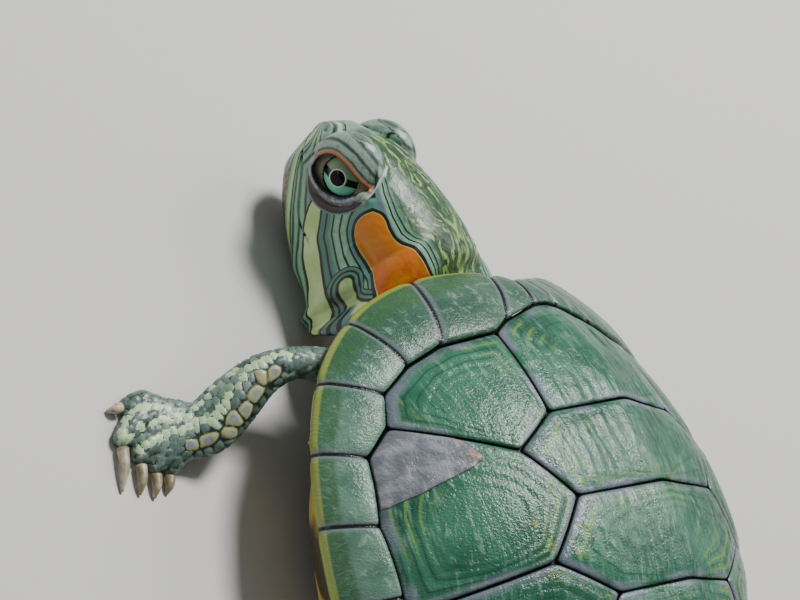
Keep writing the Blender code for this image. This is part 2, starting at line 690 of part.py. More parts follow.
def limb(words, lengths, digits, faces, turn):
    """A leg on each side: two lengths, a foot and its claws."""
    upper, lower, foot = words
    stations = lengths[0] + lengths[1] + lengths[2]
    cuts = (len(lengths[0]), len(lengths[0]) + len(lengths[1]))
    looks = [face for face, run in zip(faces, lengths) for _ in run]
    runs = tube_rings(stations, LIMB_SIDES, looks, cuts=cuts, round_end=True)
    pieces = [(upper, closed_tube(runs[0], upper), "skin_green"),
              (lower, closed_tube(runs[1], lower), "skin_green"),
              (foot, paw(runs[2], digits), "skin_green")]
    for number, digit in enumerate(digits, 1):
        rings = tube_rings(claw_stations(digit), CLAW_SIDES, UP, 1, round_end=True)[0]
        pieces.append((f"{foot}_claw_{number}", closed_tube(rings, "claw"), "claw_horn"))
    for name, mesh_data, colour in pieces:
        other = mirrored(name, mesh_data, turn, stations[0][:3])
        new_object(f"left_{name}", mesh_data, colour)
        new_object(f"right_{name}", other, colour)


def build():
    """Model every sub-part in its collection."""
    for thing in list(bpy.data.objects):
        bpy.data.objects.remove(thing)
    collection = bpy.data.collections.new(COLLECTION)
    bpy.context.scene.collection.children.link(collection)
    core()
    scutes()
    rim()
    plastron()
    trunk()
    neck()
    tail()
    head()
    limb(("upper_arm", "forearm", "hand"), (UPPER_ARM, FOREARM, PALM), FINGERS,
         (ARM_FACE, ARM_FACE, UP), RIGHT_ARM_TURN)
    limb(("thigh", "shank", "foot"), (THIGH, SHANK, SOLE), TOES, (UP, UP, UP), RIGHT_LEG_TURN)


build()
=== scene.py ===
"""Looks of the young red-eared slider: skin, horny plates, eyes and claws.

Shapes are worked out in shell lengths in the turtle's own upright frame (x to
its left, y to its back, z up) and stand() puts them on the floor in metres.
"""
import math
from itertools import product

import bmesh
import bpy
import numpy as np
from mathutils import Matrix, Vector
from mathutils.geometry import delaunay_2d_cdt
from mathutils.kdtree import KDTree


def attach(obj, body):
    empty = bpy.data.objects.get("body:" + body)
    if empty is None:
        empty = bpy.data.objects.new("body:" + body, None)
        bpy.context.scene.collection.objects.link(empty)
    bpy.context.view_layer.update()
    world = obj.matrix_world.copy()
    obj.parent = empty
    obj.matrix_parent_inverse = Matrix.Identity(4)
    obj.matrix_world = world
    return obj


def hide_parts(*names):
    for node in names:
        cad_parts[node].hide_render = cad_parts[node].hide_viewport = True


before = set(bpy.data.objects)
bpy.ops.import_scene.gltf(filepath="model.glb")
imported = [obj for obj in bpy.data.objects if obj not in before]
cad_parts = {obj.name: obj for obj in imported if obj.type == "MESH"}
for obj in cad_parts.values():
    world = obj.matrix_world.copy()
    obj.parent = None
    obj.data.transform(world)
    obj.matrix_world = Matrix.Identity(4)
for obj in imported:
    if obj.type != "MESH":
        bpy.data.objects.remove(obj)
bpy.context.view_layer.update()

# ---------------------------------------------------------------- frame of the body
SHELL_LENGTH = 0.050
NOSE_UP = math.radians(8.0)
FLOOR_DROP = 0.165
ORIGIN_SHIFT = np.array([0.00041, 0.00336, 0.0])
GAP = 0.006
TIP = np.array([[1, 0, 0],
                [0, math.cos(NOSE_UP), math.sin(NOSE_UP)],
                [0, -math.sin(NOSE_UP), math.cos(NOSE_UP)]])

DOME_HALF_WIDTH = 0.4888
DOME_HALF_LENGTH = 0.5
DOME_HEIGHT = 0.278
DOME_SQUARENESS = 1.933
DOME_ROUNDNESS = 2.52
DOME_REAR_WIDENING = 0.159
DOME_REAR_LIFT = 0.376
DOME_END_LIFT = 0.078
KEEL_HEIGHT = 0.0124
KEEL_WIDTH = 0.05
RIM_THICKNESS = 0.014

RIM = [(0.0, -0.456, 0.070), (0.100, -0.470, 0.040), (0.212, -0.456, 0.009),
       (0.318, -0.407, -0.010), (0.408, -0.319, -0.013), (0.463, -0.206, -0.003),
       (0.487, -0.086, 0.008), (0.487, 0.042, 0.014), (0.467, 0.165, 0.016),
       (0.420, 0.280, 0.016), (0.330, 0.382, 0.016), (0.190, 0.458, 0.018),
       (0.070, 0.487, 0.020), (0.0, 0.486, 0.021)]
SEAM = [("seam_front", 0.0, -0.402), ("n_m1", 0.031, -0.398),
        ("m1_m2", 0.112, -0.368), ("m2_v1", 0.146, -0.347),
        ("m2_m3", 0.244, -0.331), ("m3_m4", 0.302, -0.303),
        ("m4_m5", 0.350, -0.262), ("p1_p2", 0.371, -0.208),
        ("m5_m6", 0.407, -0.166), ("m6_m7", 0.426, -0.061),
        ("m7_m8", 0.421, 0.046), ("p2_p3", 0.416, 0.072),
        ("m8_m9", 0.402, 0.155), ("p3_p4", 0.377, 0.222),
        ("m9_m10", 0.346, 0.270), ("m10_m11", 0.272, 0.346),
        ("p4_v5", 0.212, 0.379), ("m11_m12", 0.145, 0.401),
        ("seam_back", 0.0, 0.416)]
# Where the seams between the rim scutes reach the rim, nuchal to tail
RIM_SEAMS = {"n_m1": (0.016, -0.458), "m1_m2": (0.058, -0.466),
             "m2_m3": (0.200, -0.460), "m3_m4": (0.338, -0.396),
             "m4_m5": (0.426, -0.296), "m5_m6": (0.472, -0.184),
             "m6_m7": (0.489, -0.072), "m7_m8": (0.487, 0.050),
             "m8_m9": (0.466, 0.172), "m9_m10": (0.400, 0.312),
             "m10_m11": (0.312, 0.398), "m11_m12": (0.172, 0.468)}
CORNERS = {"v1_v2": (0.156, -0.202), "v2_side": (0.232, -0.144),
           "v2_v3": (0.175, -0.065), "v3_side": (0.240, 0.030),
           "v3_v4": (0.144, 0.087), "v4_side": (0.202, 0.168),
           "v4_v5": (0.128, 0.262),
           "keel_12": (0.0, -0.217), "keel_23": (0.0, -0.077),
           "keel_34": (0.0, 0.079), "keel_45": (0.0, 0.250)}
CORNERS.update({name: (x, y) for name, x, y in SEAM})
VERTEBRALS = [("seam_front", "n_m1", "m1_m2", "m2_v1", "v1_v2", "keel_12"),
              ("keel_12", "v1_v2", "v2_side", "v2_v3", "keel_23"),
              ("keel_23", "v2_v3", "v3_side", "v3_v4", "keel_34"),
              ("keel_34", "v3_v4", "v4_side", "v4_v5", "keel_45"),
              ("keel_45", "v4_v5", "p4_v5", "m11_m12", "seam_back")]
PLEURALS = [("m2_v1", "m2_m3", "m3_m4", "m4_m5", "p1_p2", "v2_side", "v1_v2"),
            ("p1_p2", "m5_m6", "m6_m7", "m7_m8", "p2_p3", "v3_side", "v2_v3",
             "v2_side"),
            ("p2_p3", "m8_m9", "p3_p4", "v4_side", "v3_v4", "v3_side"),
            ("p3_p4", "m9_m10", "m10_m11", "p4_v5", "v4_v5", "v4_side")]
PLASTRON = [(0.0, -0.415), (0.10, -0.410), (0.185, -0.372), (0.228, -0.31),
            (0.245, -0.25), (0.33, -0.235), (0.41, -0.195), (0.442, -0.10),
            (0.446, 0.0), (0.434, 0.09), (0.37, 0.155), (0.255, 0.185),
            (0.240, 0.26), (0.215, 0.335), (0.15, 0.395), (0.05, 0.41),
            (0.0, 0.395)]
PLASTRON_Z = -0.13
PLASTRON_THICKNESS = 0.024
BRIDGE_RISE = 0.100
BRIDGE_START = 0.70
BRIDGE_FRONT_Y = -0.235
BRIDGE_BACK_Y = 0.165
HIND_LOBE_Y = 0.25
HIND_LOBE_CURL = 1.15
FRONT_LOBE_Y = -0.25
FRONT_LOBE_CURL = 0.1

HEAD_WIDTH = 0.221
HEAD_CENTRE = np.array([0.171, -0.676, -0.070])
HEAD_YAW = math.radians(22.4)
HEAD_PITCH = math.radians(-8.6)
HEAD_ROLL = math.radians(12.9)
# forward, half width, top, bottom, and how far the throat leans to the left
HEAD_SECTIONS = [(-0.67, 0.50, 0.38, -0.82, 0.44), (-0.53, 0.49, 0.37, -0.82, 0.33),
                 (-0.36, 0.48, 0.35, -0.85, 0.21), (-0.20, 0.46, 0.32, -0.84, 0.08),
                 (0.0, 0.42, 0.27, -0.80, 0.0), (0.15, 0.36, 0.20, -0.72, 0.0),
                 (0.285, 0.28, 0.11, -0.63, 0.0), (0.37, 0.22, 0.065, -0.55, 0.0),
                 (0.43, 0.16, 0.015, -0.43, 0.0), (0.49, 0.10, -0.05, -0.30, 0.0)]
HEAD_SQUARENESS = 2.3
LID_RADIUS = 0.31
LID_SHAPE = np.array([0.945, 0.58, 1.016])
LID_CENTRE = np.array([0.044, 0.29, -0.019])
EYE_RADIUS = 0.18
EYE_ROWS = 48
EYE_COLUMNS = 72
CORNEA_BULGE = 0.045
EYE_CENTRE = np.array([0.02, 0.29, -0.02])
EYE_FLOOR = (0.28, 0.21, 0.14)
# Opening between the lids, seen from the side: towards the neck and up, from the pupil
EYE_OPENING = [(-0.235, -0.035), (-0.205, 0.065), (-0.115, 0.130), (0.0, 0.120),
               (0.10, 0.075), (0.185, 0.032), (0.225, 0.010), (0.160, -0.060),
               (0.070, -0.132), (-0.050, -0.155), (-0.150, -0.125), (-0.212, -0.082)]
# Line of the mouth, forward and up, from the snout to its corner
MOUTH = [(0.50, -0.20), (0.40, -0.265), (0.30, -0.305), (0.20, -0.345), (0.10, -0.410),
         (0.0, -0.480), (-0.12, -0.525), (-0.28, -0.500)]
MOUTH_DEPTH = 0.022
MOUTH_WIDTH = 0.009
JAW_STEP = 0.004
NOSTRIL = np.array([0.385, 0.15, -0.07])
NOSTRIL_DEPTH = 0.03
NOSTRIL_WIDTH = 0.02
LOBE_HEIGHT = 0.022
EARDRUM = np.array([-0.60, 0.50, -0.20])

# Neck: middle (x, y, z), half width, top, bottom, throat lean, turn and tilt in degrees
NECK = [(0.055, -0.350, -0.046, 0.150, 0.044, -0.044, 0.0, 0, 5),
        (0.085, -0.395, -0.050, 0.158, 0.044, -0.046, 0.0, 7, 10),
        (0.120, -0.425, -0.055, 0.165, 0.042, -0.046, 0.2, 12, 15),
        (0.128, -0.458, -0.053, 0.162, 0.056, -0.115, 0.55, 17, 15),
        (0.122, -0.492, -0.050, 0.134, 0.080, -0.165, 0.58, 21, 14)]
# Markings of the head: forward, and round from the throat (-0.78) to the crown (0.78)
EAR_PATCH = [(-0.32, 0.21), (-0.31, 0.125), (-0.33, 0.055), (-0.38, 0.0), (-0.44, -0.025),
             (-0.52, -0.035), (-0.60, -0.027), (-0.675, -0.02), (-0.75, -0.005), (-0.85, -0.01),
             (-1.10, -0.01), (-1.10, 0.345), (-0.90, 0.342), (-0.83, 0.34), (-0.77, 0.332),
             (-0.70, 0.315), (-0.635, 0.265), (-0.57, 0.242), (-0.49, 0.243), (-0.43, 0.255),
             (-0.375, 0.25)]
STRIPE_LOW = [(-0.02, -0.235), (-0.12, -0.342), (-0.24, -0.385), (-0.40, -0.390),
              (-0.55, -0.392), (-0.64, -0.410), (-0.77, -0.423), (-0.805, -0.430),
              (-0.87, -0.360), (-0.95, -0.280), (-1.20, -0.200)]
STRIPE_HIGH = [(-0.07, -0.160), (-0.22, -0.252), (-0.28, -0.279), (-0.38, -0.281),
               (-0.50, -0.296), (-0.61, -0.298), (-0.71, -0.292), (-0.77, -0.308),
               (-0.832, -0.305), (-0.88, -0.235), (-0.95, -0.150), (-1.20, -0.100)]
LOOP_AXIS = [(-0.675, -0.182), (-0.75, -0.196), (-0.817, -0.184), (-0.87, -0.135),
             (-0.95, -0.040), (-1.20, 0.050)]
SNOUT_STRIPE = [(0.47, 0.70), (0.40, 0.56), (0.335, 0.40), (0.28, 0.25)]
JAW_STRIPE = [(0.50, -0.10), (0.42, -0.20), (0.385, -0.36), (0.32, -0.405), (0.215, -0.435),
              (0.126, -0.460), (0.0, -0.510), (-0.15, -0.560), (-0.40, -0.600), (-1.20, -0.620)]
CROWN_EDGE = [(0.50, 0.55), (0.30, 0.46), (0.10, 0.42), (-0.10, 0.36), (-0.25, 0.29),
              (-0.43, 0.250), (-0.57, 0.242), (-0.635, 0.265), (-0.70, 0.315),
              (-0.77, 0.332), (-0.90, 0.342), (-1.20, 0.345)]
# Pale scale rows of the arm and the large scales of its lower edge
ARM_ROW = [(0.432, -0.353, -0.063), (0.472, -0.344, -0.085), (0.501, -0.320, -0.100),
           (0.524, -0.297, -0.115), (0.540, -0.269, -0.125), (0.572, -0.259, -0.146),
           (0.615, -0.249, -0.162), (0.645, -0.239, -0.171), (0.657, -0.225, -0.180)]
ARM_TOP = [(0.562, -0.286, -0.148), (0.537, -0.306, -0.141), (0.510, -0.330, -0.122),
           (0.478, -0.345, -0.093)]
TOE_RIDGE = [(0.598, -0.296, -0.164), (0.634, -0.293, -0.172), (0.668, -0.277, -0.182),
             (0.682, -0.249, -0.179)]
TOE_RIDGE_LOW = [(0.568, -0.275, -0.147), (0.606, -0.272, -0.160), (0.659, -0.260, -0.171),
                 (0.676, -0.240, -0.180)]
ARM_EDGE = [(0.457, -0.326, -0.071), (0.471, -0.310, -0.080), (0.490, -0.282, -0.093),
            (0.509, -0.262, -0.105), (0.534, -0.242, -0.123), (0.565, -0.229, -0.147)]
TAIL = [(0.0, 0.365, -0.052, 0.048, 0.026), (-0.002, 0.43, -0.052, 0.036, 0.026),
        (-0.018, 0.50, -0.060, 0.022, 0.020), (-0.052, 0.565, -0.070, 0.012, 0.012),
        (-0.088, 0.61, -0.068, 0.006, 0.006)]
TRUNK_HALF_WIDTH = 0.30
TRUNK_HALF_LENGTH = 0.33
TRUNK_SQUARENESS = 2.6
UPPER_ARM = [(0.300, -0.310, -0.068, 0.040, 0.034), (0.352, -0.334, -0.070, 0.030, 0.029),
             (0.406, -0.341, -0.076, 0.025, 0.025)]
FOREARM = [(0.456, -0.327, -0.100, 0.033, 0.026), (0.497, -0.293, -0.126, 0.042, 0.027),
           (0.529, -0.262, -0.148, 0.044, 0.025)]
PALM = [(0.553, -0.254, -0.162, 0.043, 0.023), (0.590, -0.258, -0.176, 0.050, 0.021),
        (0.630, -0.258, -0.185, 0.047, 0.018), (0.650, -0.256, -0.188, 0.034, 0.013)]
FINGERS = [((0.590, -0.290), (0.622, -0.304), (0.648, -0.300), 0.0185, (0.682, -0.293)),
           ((0.602, -0.270), (0.640, -0.275), (0.672, -0.250), 0.0200, (0.688, -0.170)),
           ((0.596, -0.250), (0.624, -0.242), (0.645, -0.222), 0.0190, (0.656, -0.164)),
           ((0.580, -0.232), (0.604, -0.221), (0.620, -0.206), 0.0170, (0.630, -0.158)),
           ((0.562, -0.222), (0.580, -0.212), (0.592, -0.200), 0.0145, (0.604, -0.164))]
ARM_FACE = (0.78, 0.06, 0.62)
UP = (0, 0, 1)
THIGH = [(0.280, 0.255, -0.066, 0.052, 0.038), (0.330, 0.250, -0.068, 0.050, 0.036),
         (0.385, 0.262, -0.070, 0.046, 0.034)]
SHANK = [(0.430, 0.292, -0.074, 0.040, 0.031), (0.458, 0.330, -0.082, 0.038, 0.029)]
SOLE = [(0.470, 0.372, -0.088, 0.037, 0.025), (0.484, 0.416, -0.092, 0.052, 0.020),
        (0.502, 0.466, -0.088, 0.062, 0.016), (0.512, 0.492, -0.085, 0.058, 0.012)]
TOES = [((0.466, 0.458), (0.462, 0.496), (0.460, 0.520), 0.0165, (0.460, 0.572)),
        ((0.486, 0.470), (0.490, 0.516), (0.494, 0.546), 0.0175, (0.500, 0.602)),
        ((0.508, 0.474), (0.520, 0.518), (0.530, 0.548), 0.0175, (0.544, 0.602)),
        ((0.530, 0.462), (0.550, 0.498), (0.566, 0.522), 0.0165, (0.590, 0.566))]
RIGHT_ARM_TURN = math.radians(24.0)
RIGHT_LEG_TURN = math.radians(-14.0)
CLAW_ROOT = 0.0095
CLAW_SIDES = 14

# Camera, in the turtle's frame: where it is and which way its sides lie
CAMERA_PLACE = (2.538, 0.194, 2.022)
CAMERA_RIGHT = (-0.674, 0.162, 0.721)
CAMERA_DOWN = (-0.039, 0.967, -0.253)
CAMERA_AWAY = (-0.738, -0.198, -0.645)
CAMERA_LENS = 88.5


# ---------------------------------------------------------------- small mathematics
def stand(points):
    """Points of the turtle's own frame, on the floor, in metres."""
    placed = np.asarray(points, float) @ TIP.T
    placed[..., 2] += FLOOR_DROP
    return placed * SHELL_LENGTH + ORIGIN_SHIFT


def unit(vector):
    """A vector of length one."""
    vector = np.asarray(vector, float)
    return vector / np.linalg.norm(vector, axis=-1, keepdims=True)


def step_up(low, high, value):
    """Smooth rise from 0 at low to 1 at high."""
    t = np.clip((value - low) / (high - low), 0, 1)
    return t * t * (3 - 2 * t)


def smooth_line(points, steps):
    """Rows along a Catmull-Rom curve through the given rows."""
    points = np.asarray(points, float)
    ends = np.vstack([2 * points[0] - points[1], points, 2 * points[-1] - points[-2]])
    rows = []
    for a, b, c, d in zip(ends, ends[1:], ends[2:], ends[3:]):
        for t in np.arange(steps) / steps:
            rows.append(0.5 * (2 * b + (c - a) * t + (2 * a - 5 * b + 4 * c - d) * t * t
                               + (3 * b - a - 3 * c + d) * t ** 3))
    rows.append(points[-1])
    return np.array(rows)


def noise(points, seed=0):
    """Smooth gradient noise, about -1 to 1, at rows of three coordinates."""
    points = np.asarray(points, float)
    cell = np.floor(points).astype(np.int64)
    inner = points - cell
    fade = inner ** 3 * (inner * (inner * 6 - 15) + 10)
    total = np.zeros(len(points))
    for corner in product((0, 1), repeat=3):
        at = cell + corner
        code = (at[:, 0] * 73856093) ^ (at[:, 1] * 19349663) ^ (at[:, 2] * 83492791)
        code = (code ^ (seed * 668265263 + 374761393)) & 0xFFFFFFFF
        code = ((code ^ (code >> 13)) * 1274126177) & 0xFFFFFFFF
        code = code ^ (code >> 16)
        turn = (code & 0xFFFF) / 65536 * math.tau
        lift = ((code >> 16) & 0xFFFF) / 32768 - 1
        flat = np.sqrt(1 - lift * lift)
        away = inner - corner
        dot = (flat * np.cos(turn) * away[:, 0] + flat * np.sin(turn) * away[:, 1]
               + lift * away[:, 2])
        share = np.prod(np.where(corner, fade, 1 - fade), axis=1)
        total += share * dot
    return total * 1.6


def soft_min(a, b, width):
    """Minimum of two fields with a fillet of a given width."""
    blend = np.clip(0.5 + 0.5 * (b - a) / width, 0, 1)
    return b + (a - b) * blend - width * blend * (1 - blend)


def soft_max(a, b, width):
    """Maximum of two fields with a fillet of a given width."""
    return -soft_min(-a, -b, width)


def line_distance(points, line):
    """Distance from rows of points to a polyline of any dimension."""
    best = np.full(len(points), 9.0)
    for a, b in zip(line, line[1:]):
        along = b - a
        t = np.clip((points - a) @ along / max(along @ along, 1e-12), 0, 1)
        gap = np.linalg.norm(points - a - t[:, None] * along, axis=1)
        best = np.minimum(best, gap)
    return best


def inside_loop(points, loop):
    """Whether plan points lie inside a closed loop."""
    inside = np.zeros(len(points), bool)
    for a, b in zip(loop, np.roll(loop, -1, axis=0)):
        spans = (a[1] > points[:, 1]) != (b[1] > points[:, 1])
        rise = b[1] - a[1] if b[1] != a[1] else 1e-12
        cross = a[0] + (points[:, 1] - a[1]) / rise * (b[0] - a[0])
        inside ^= spans & (points[:, 0] < cross)
    return inside


def loop_distance(spots, loop):
    """Distance outside a closed loop in the plane, less than nothing inside it."""
    edge = line_distance(spots, loop)
    return np.where(inside_loop(spots, loop), -edge, edge)


def signed_loop(spots, corners):
    """The same distance from a smooth loop through a few corners."""
    return loop_distance(spots, smooth_line([*corners, corners[0]], 3))


def bell(value, width):
    """A smooth bump of height one about zero."""
    return np.exp(-(value / width) ** 2)


# ---------------------------------------------------------------- making objects
def orient(mesh):
    """Turn all faces of a closed mesh outwards."""
    form = bmesh.new()
    form.from_mesh(mesh)
    bmesh.ops.recalc_face_normals(form, faces=form.faces)
    form.to_mesh(mesh)
    form.free()


def make_object(name, points, faces, nodes, material, marks=None, outwards=True):
    """A mesh piece in metres that stands for CAD nodes."""
    mesh = bpy.data.meshes.new(name)
    mesh.from_pydata([tuple(p) for p in points], [], [tuple(f) for f in faces])
    mesh.update()
    for key, values in (marks or {}).items():
        values = np.asarray(values, np.float32)
        kind = "FLOAT" if values.ndim == 1 else "FLOAT_VECTOR"
        field = "value" if values.ndim == 1 else "vector"
        layer = mesh.attributes.new(key, kind, "POINT")
        layer.data.foreach_set(field, values.ravel())
    mesh.shade_smooth()
    if outwards:
        orient(mesh)
    mesh.materials.append(material)
    thing = bpy.data.objects.new(name, mesh)
    bpy.context.scene.collection.objects.link(thing)
    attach(thing, "root")
    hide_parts(*nodes)


def lattice(rows, columns, closed=True, start=0):
    """Quads that join rows of a grid of points."""
    faces = []
    for r in range(rows - 1):
        for c in range(columns if closed else columns - 1):
            d = (c + 1) % columns
            faces.append((start + r * columns + c, start + r * columns + d,
                          start + (r + 1) * columns + d, start + (r + 1) * columns + c))
    return faces


def tube_mesh(rings):
    """Points and faces of a closed tube of equal rings."""
    rings = [np.asarray(r) for r in rings]
    count = len(rings[0])
    points = np.vstack(rings + [rings[0].mean(0), rings[-1].mean(0)])
    faces = lattice(len(rings), count)
    last = len(rings) * count
    for c in range(count):
        d = (c + 1) % count
        faces.append((d, c, last))
        faces.append(((len(rings) - 1) * count + c, (len(rings) - 1) * count + d, last + 1))
    return points, faces


# ---------------------------------------------------------------- carapace form
def dome(x, y):
    """Height of the carapace inside the rim scutes."""
    half_width = DOME_HALF_WIDTH * (1 + DOME_REAR_WIDENING * y)
    reach = (np.abs(x / half_width) ** DOME_SQUARENESS
             + np.abs(y / DOME_HALF_LENGTH) ** DOME_SQUARENESS) ** (1 / DOME_SQUARENESS)
    reach = np.minimum(reach, 1.0)
    height = DOME_HEIGHT * (1 - reach ** DOME_ROUNDNESS) * (1 + DOME_REAR_LIFT * y)
    keel = KEEL_HEIGHT * np.exp(-(x / KEEL_WIDTH) ** 2) * (1 - reach ** 4)
    return height + keel + DOME_END_LIFT * y * y * reach


def dome_normal(x, y):
    """Outward direction of the dome, from its slopes."""
    step = 0.004
    slope_x = (dome(x + step, y) - dome(x - step, y)) / (2 * step)
    slope_y = (dome(x, y + step) - dome(x, y - step)) / (2 * step)
    return unit(np.stack([-slope_x, -slope_y, np.ones_like(slope_x)], -1))


RIM_LINE = smooth_line(RIM, 8)
SEAM_LINE = np.array([(x, y, float(dome(np.float64(x), np.float64(y)))) for _, x, y in SEAM])


def reach_of(half, angles):
    """Radius and height of an outline at angles from the nose, left and right alike."""
    turn = np.arctan2(half[:, 0], -half[:, 1])
    turn[0], turn[-1] = 0.0, math.pi
    folded = np.abs(np.mod(np.asarray(angles) + math.pi, math.tau) - math.pi)
    x, y = half[:, 0], half[:, 1]
    place = np.clip(np.searchsorted(turn, folded, side="right") - 1, 0, len(turn) - 2)
    ax, ay, bx, by = x[place], y[place], x[place + 1], y[place + 1]
    rx, ry = np.sin(folded), -np.cos(folded)
    dx, dy = bx - ax, by - ay
    across = rx * dy - ry * dx
    across = np.where(np.abs(across) < 1e-12, 1e-12, across)
    distance = (ax * dy - ay * dx) / across
    share = np.clip((ax * ry - ay * rx) / across, 0, 1)
    height = half[place, 2] + (half[place + 1, 2] - half[place, 2]) * share
    return distance, height


def outline_of(names, mirror):
    """Dense plan outline of a scute from its corners."""
    corners = [np.array(CORNERS[n]) for n in names]
    if mirror:
        inner = [c * (-1, 1) for c in corners if c[0] > 1e-9]
        corners = corners + inner[::-1]
    points = []
    for a, b in zip(corners, corners[1:] + corners[:1]):
        count = max(2, round(float(np.linalg.norm(b - a)) / 0.0045))
        points += [a + (b - a) * k / count for k in range(count)]
    loop = np.array(points)
    for _ in range(3):
        loop = (np.roll(loop, 1, 0) + 2 * loop + np.roll(loop, -1, 0)) / 4
    return loop


# The grey flake of old horn that is still held on the second left pleural
FLAKE = [(0.395, -0.225), (0.365, -0.212), (0.316, -0.186), (0.297, -0.160), (0.293, -0.137),
         (0.352, -0.110), (0.400, -0.092), (0.435, -0.090), (0.430, -0.180)]
FLAKED_PLATE = "pleural_left_2"
FLAKE_HEIGHT = 0.0022
FLAKE_SEED = 9
NO_FLAKE = 0.1
PLATE_STEP = 0.0030
ROW_STEP = PLATE_STEP * 0.866
PLATE_DEPTH = 0.0100
BED_DEPTH = 0.0120
BED_COLUMNS = 144
RIM_COLUMNS = 840
RIM_OVERLAP = 0.0014
RIM_CURL = 0.006
RIM_GROOVE_WIDTH = 0.0032
RIM_GROOVE_DEPTH = 0.0035
RIM_FOLD_WIDTH = 0.010
RIM_FOLD_DEPTH = 0.0012
RIM_NOTCH_DEPTH = 0.004
RIM_WRINKLE_DEPTH = 0.0012
RIM_SEED = 30
UNDERSIDE_SHARE = 1.5
PLASTRON_COLUMNS = 200
PLATE_INSET = 0.0011
PLATE_EDGE_ROUND = 0.007
PLATE_EDGE_SINK = 0.0034
PLATE_SWELL = 0.0025
PLATE_SEAT = 0.0006
AREOLA_SHIFT = 0.28
RING_HEIGHT = 0.0007
RING_TURNS = 46
WRINKLE_DEPTH = 0.0019


def wrinkles(plan, seed):
    """Height of the fine lengthwise wrinkles of the horn."""
    bend = noise(np.column_stack([plan * 9, np.full(len(plan), seed)]), 3) * 0.9
    across = np.column_stack([plan[:, 0] * 92 + bend, plan[:, 1] * 17,
                              np.full(len(plan), seed + 0.5)])
    fine = np.column_stack([plan[:, 0] * 60, plan[:, 1] * 60, np.full(len(plan), seed)])
    return 0.75 * noise(across, 5) + 0.4 * noise(fine, 6)


def plate_plan(outline, centre):
    """Plan of a scute in triangles; its first points are its border."""
    spoke = outline - centre
    border = centre + spoke * (1 - PLATE_INSET / np.linalg.norm(spoke, axis=1, keepdims=True))
    low, high = border.min(0), border.max(0)
    rows = []
    for number, y in enumerate(np.arange(low[1], high[1], ROW_STEP)):
        xs = np.arange(low[0] + (number % 2) * PLATE_STEP / 2, high[0], PLATE_STEP)
        rows.append(np.column_stack([xs, np.full(len(xs), y)]))
    grid = np.vstack(rows)
    grid = grid[inside_loop(grid, border)]
    gap = line_distance(grid, np.vstack([border, border[:1]]))
    spots = np.vstack([border, grid[gap > PLATE_STEP * 0.6]])
    edges = [(k, (k + 1) % len(border)) for k in range(len(border))]
    found = delaunay_2d_cdt([Vector(p) for p in spots], edges, [], 1, 1e-7)
    return border, np.array([tuple(v) for v in found[0]]), [tuple(f) for f in found[2]]


def plate_relief(plan, edge, near, wrinkled, seed):
    """Height of a scute over the dome, and the part of it that its wrinkles give."""
    sink = -PLATE_EDGE_SINK * (1 - np.clip(edge / PLATE_EDGE_ROUND, 0, 1)) ** 2
    rings = RING_HEIGHT * np.cos(near * RING_TURNS) * step_up(0.3, 0.75, near) * (1 - wrinkled)
    crease = WRINKLE_DEPTH * wrinkles(plan, seed) * wrinkled
    crease *= step_up(0.0, 0.012, edge)
    swell = PLATE_SWELL * step_up(0.0, 0.03, edge) - PLATE_SWELL
    return sink + rings + crease + swell - PLATE_SEAT, crease


def plate(name, outline, side, material, wrinkled, seed):
    """One horny scute: a domed sheet with rounded edges, growth rings and wrinkles."""
    centre = outline.mean(0)
    border, plan, faces = plate_plan(outline, centre)
    edge = line_distance(plan, np.vstack([border, border[:1]]))
    areola = centre + (0.0, AREOLA_SHIFT * (border[:, 1].max() - centre[1]))
    reach = np.linalg.norm(plan - areola, axis=1)
    near = reach / (reach + edge + 1e-6)
    rise, crease = plate_relief(plan, edge, near, wrinkled, seed)
    flake = np.full(len(plan), NO_FLAKE)
    if name == FLAKED_PLATE:
        flake = signed_loop(plan, FLAKE) + 0.0012 * noise(
            np.column_stack([plan * 60, np.zeros(len(plan))]), FLAKE_SEED)
        rise += (FLAKE_HEIGHT - 0.5 * crease) * step_up(0.0010, -0.0014, flake)
    lean = dome_normal(*plan.T)[:, 2]
    count, start = len(border), len(plan)
    rim = plan[:count]
    surface = np.column_stack([plan, dome(*plan.T) + rise / lean])
    depth = np.column_stack([rim, dome(*rim.T) - PLATE_DEPTH / lean[:count]])
    middle = np.array([[*centre, float(dome(*centre))]])
    middle = middle - dome_normal(*centre[:, None]) * PLATE_DEPTH
    points = np.vstack([surface, depth, middle])
    last = len(points) - 1
    for k in range(count):
        after = (k + 1) % count
        faces.append((after, k, start + k, start + after))
        faces.append((start + after, start + k, last))
    points[:, 0] *= side
    seen = np.vstack([plan, rim, [centre]]) * (side, 1)
    marks = {"edge": np.concatenate([edge, np.zeros(count + 1)]),
             "flake": np.concatenate([flake, np.full(count + 1, NO_FLAKE)]),
             "plan": np.column_stack([seen, np.zeros(len(points))]),
             "near": np.concatenate([near, np.ones(count), [0.0]])}
    make_object(f"{name}_horn", stand(points), faces, [name], material, marks)


def bed(material):
    """The dark bony dome under the scutes."""
    angles = np.arange(BED_COLUMNS) / BED_COLUMNS * math.tau
    rings = []
    reach, _ = reach_of(SEAM_LINE, angles)
    _, rim_height = reach_of(RIM_LINE, angles)
    for share in (0.02, 0.5, 0.8, 0.97):
        radius = (reach - GAP / 2) * share
        low = rim_height * share ** 2 - RIM_THICKNESS
        rings.append(np.column_stack([radius * np.sin(angles), -radius * np.cos(angles), low]))
    for share in np.linspace(1.0, 0.02, 22):
        radius = (reach + 0.0003) * share
        x, y = radius * np.sin(angles), -radius * np.cos(angles)
        skin = np.column_stack([x, y, dome(x, y)])
        skin[:, 2] -= BED_DEPTH / dome_normal(x, y)[:, 2]
        rings.append(skin)
    points, faces = tube_mesh(rings)
    make_object("shell_bed", stand(points), faces, ["carapace"], material)


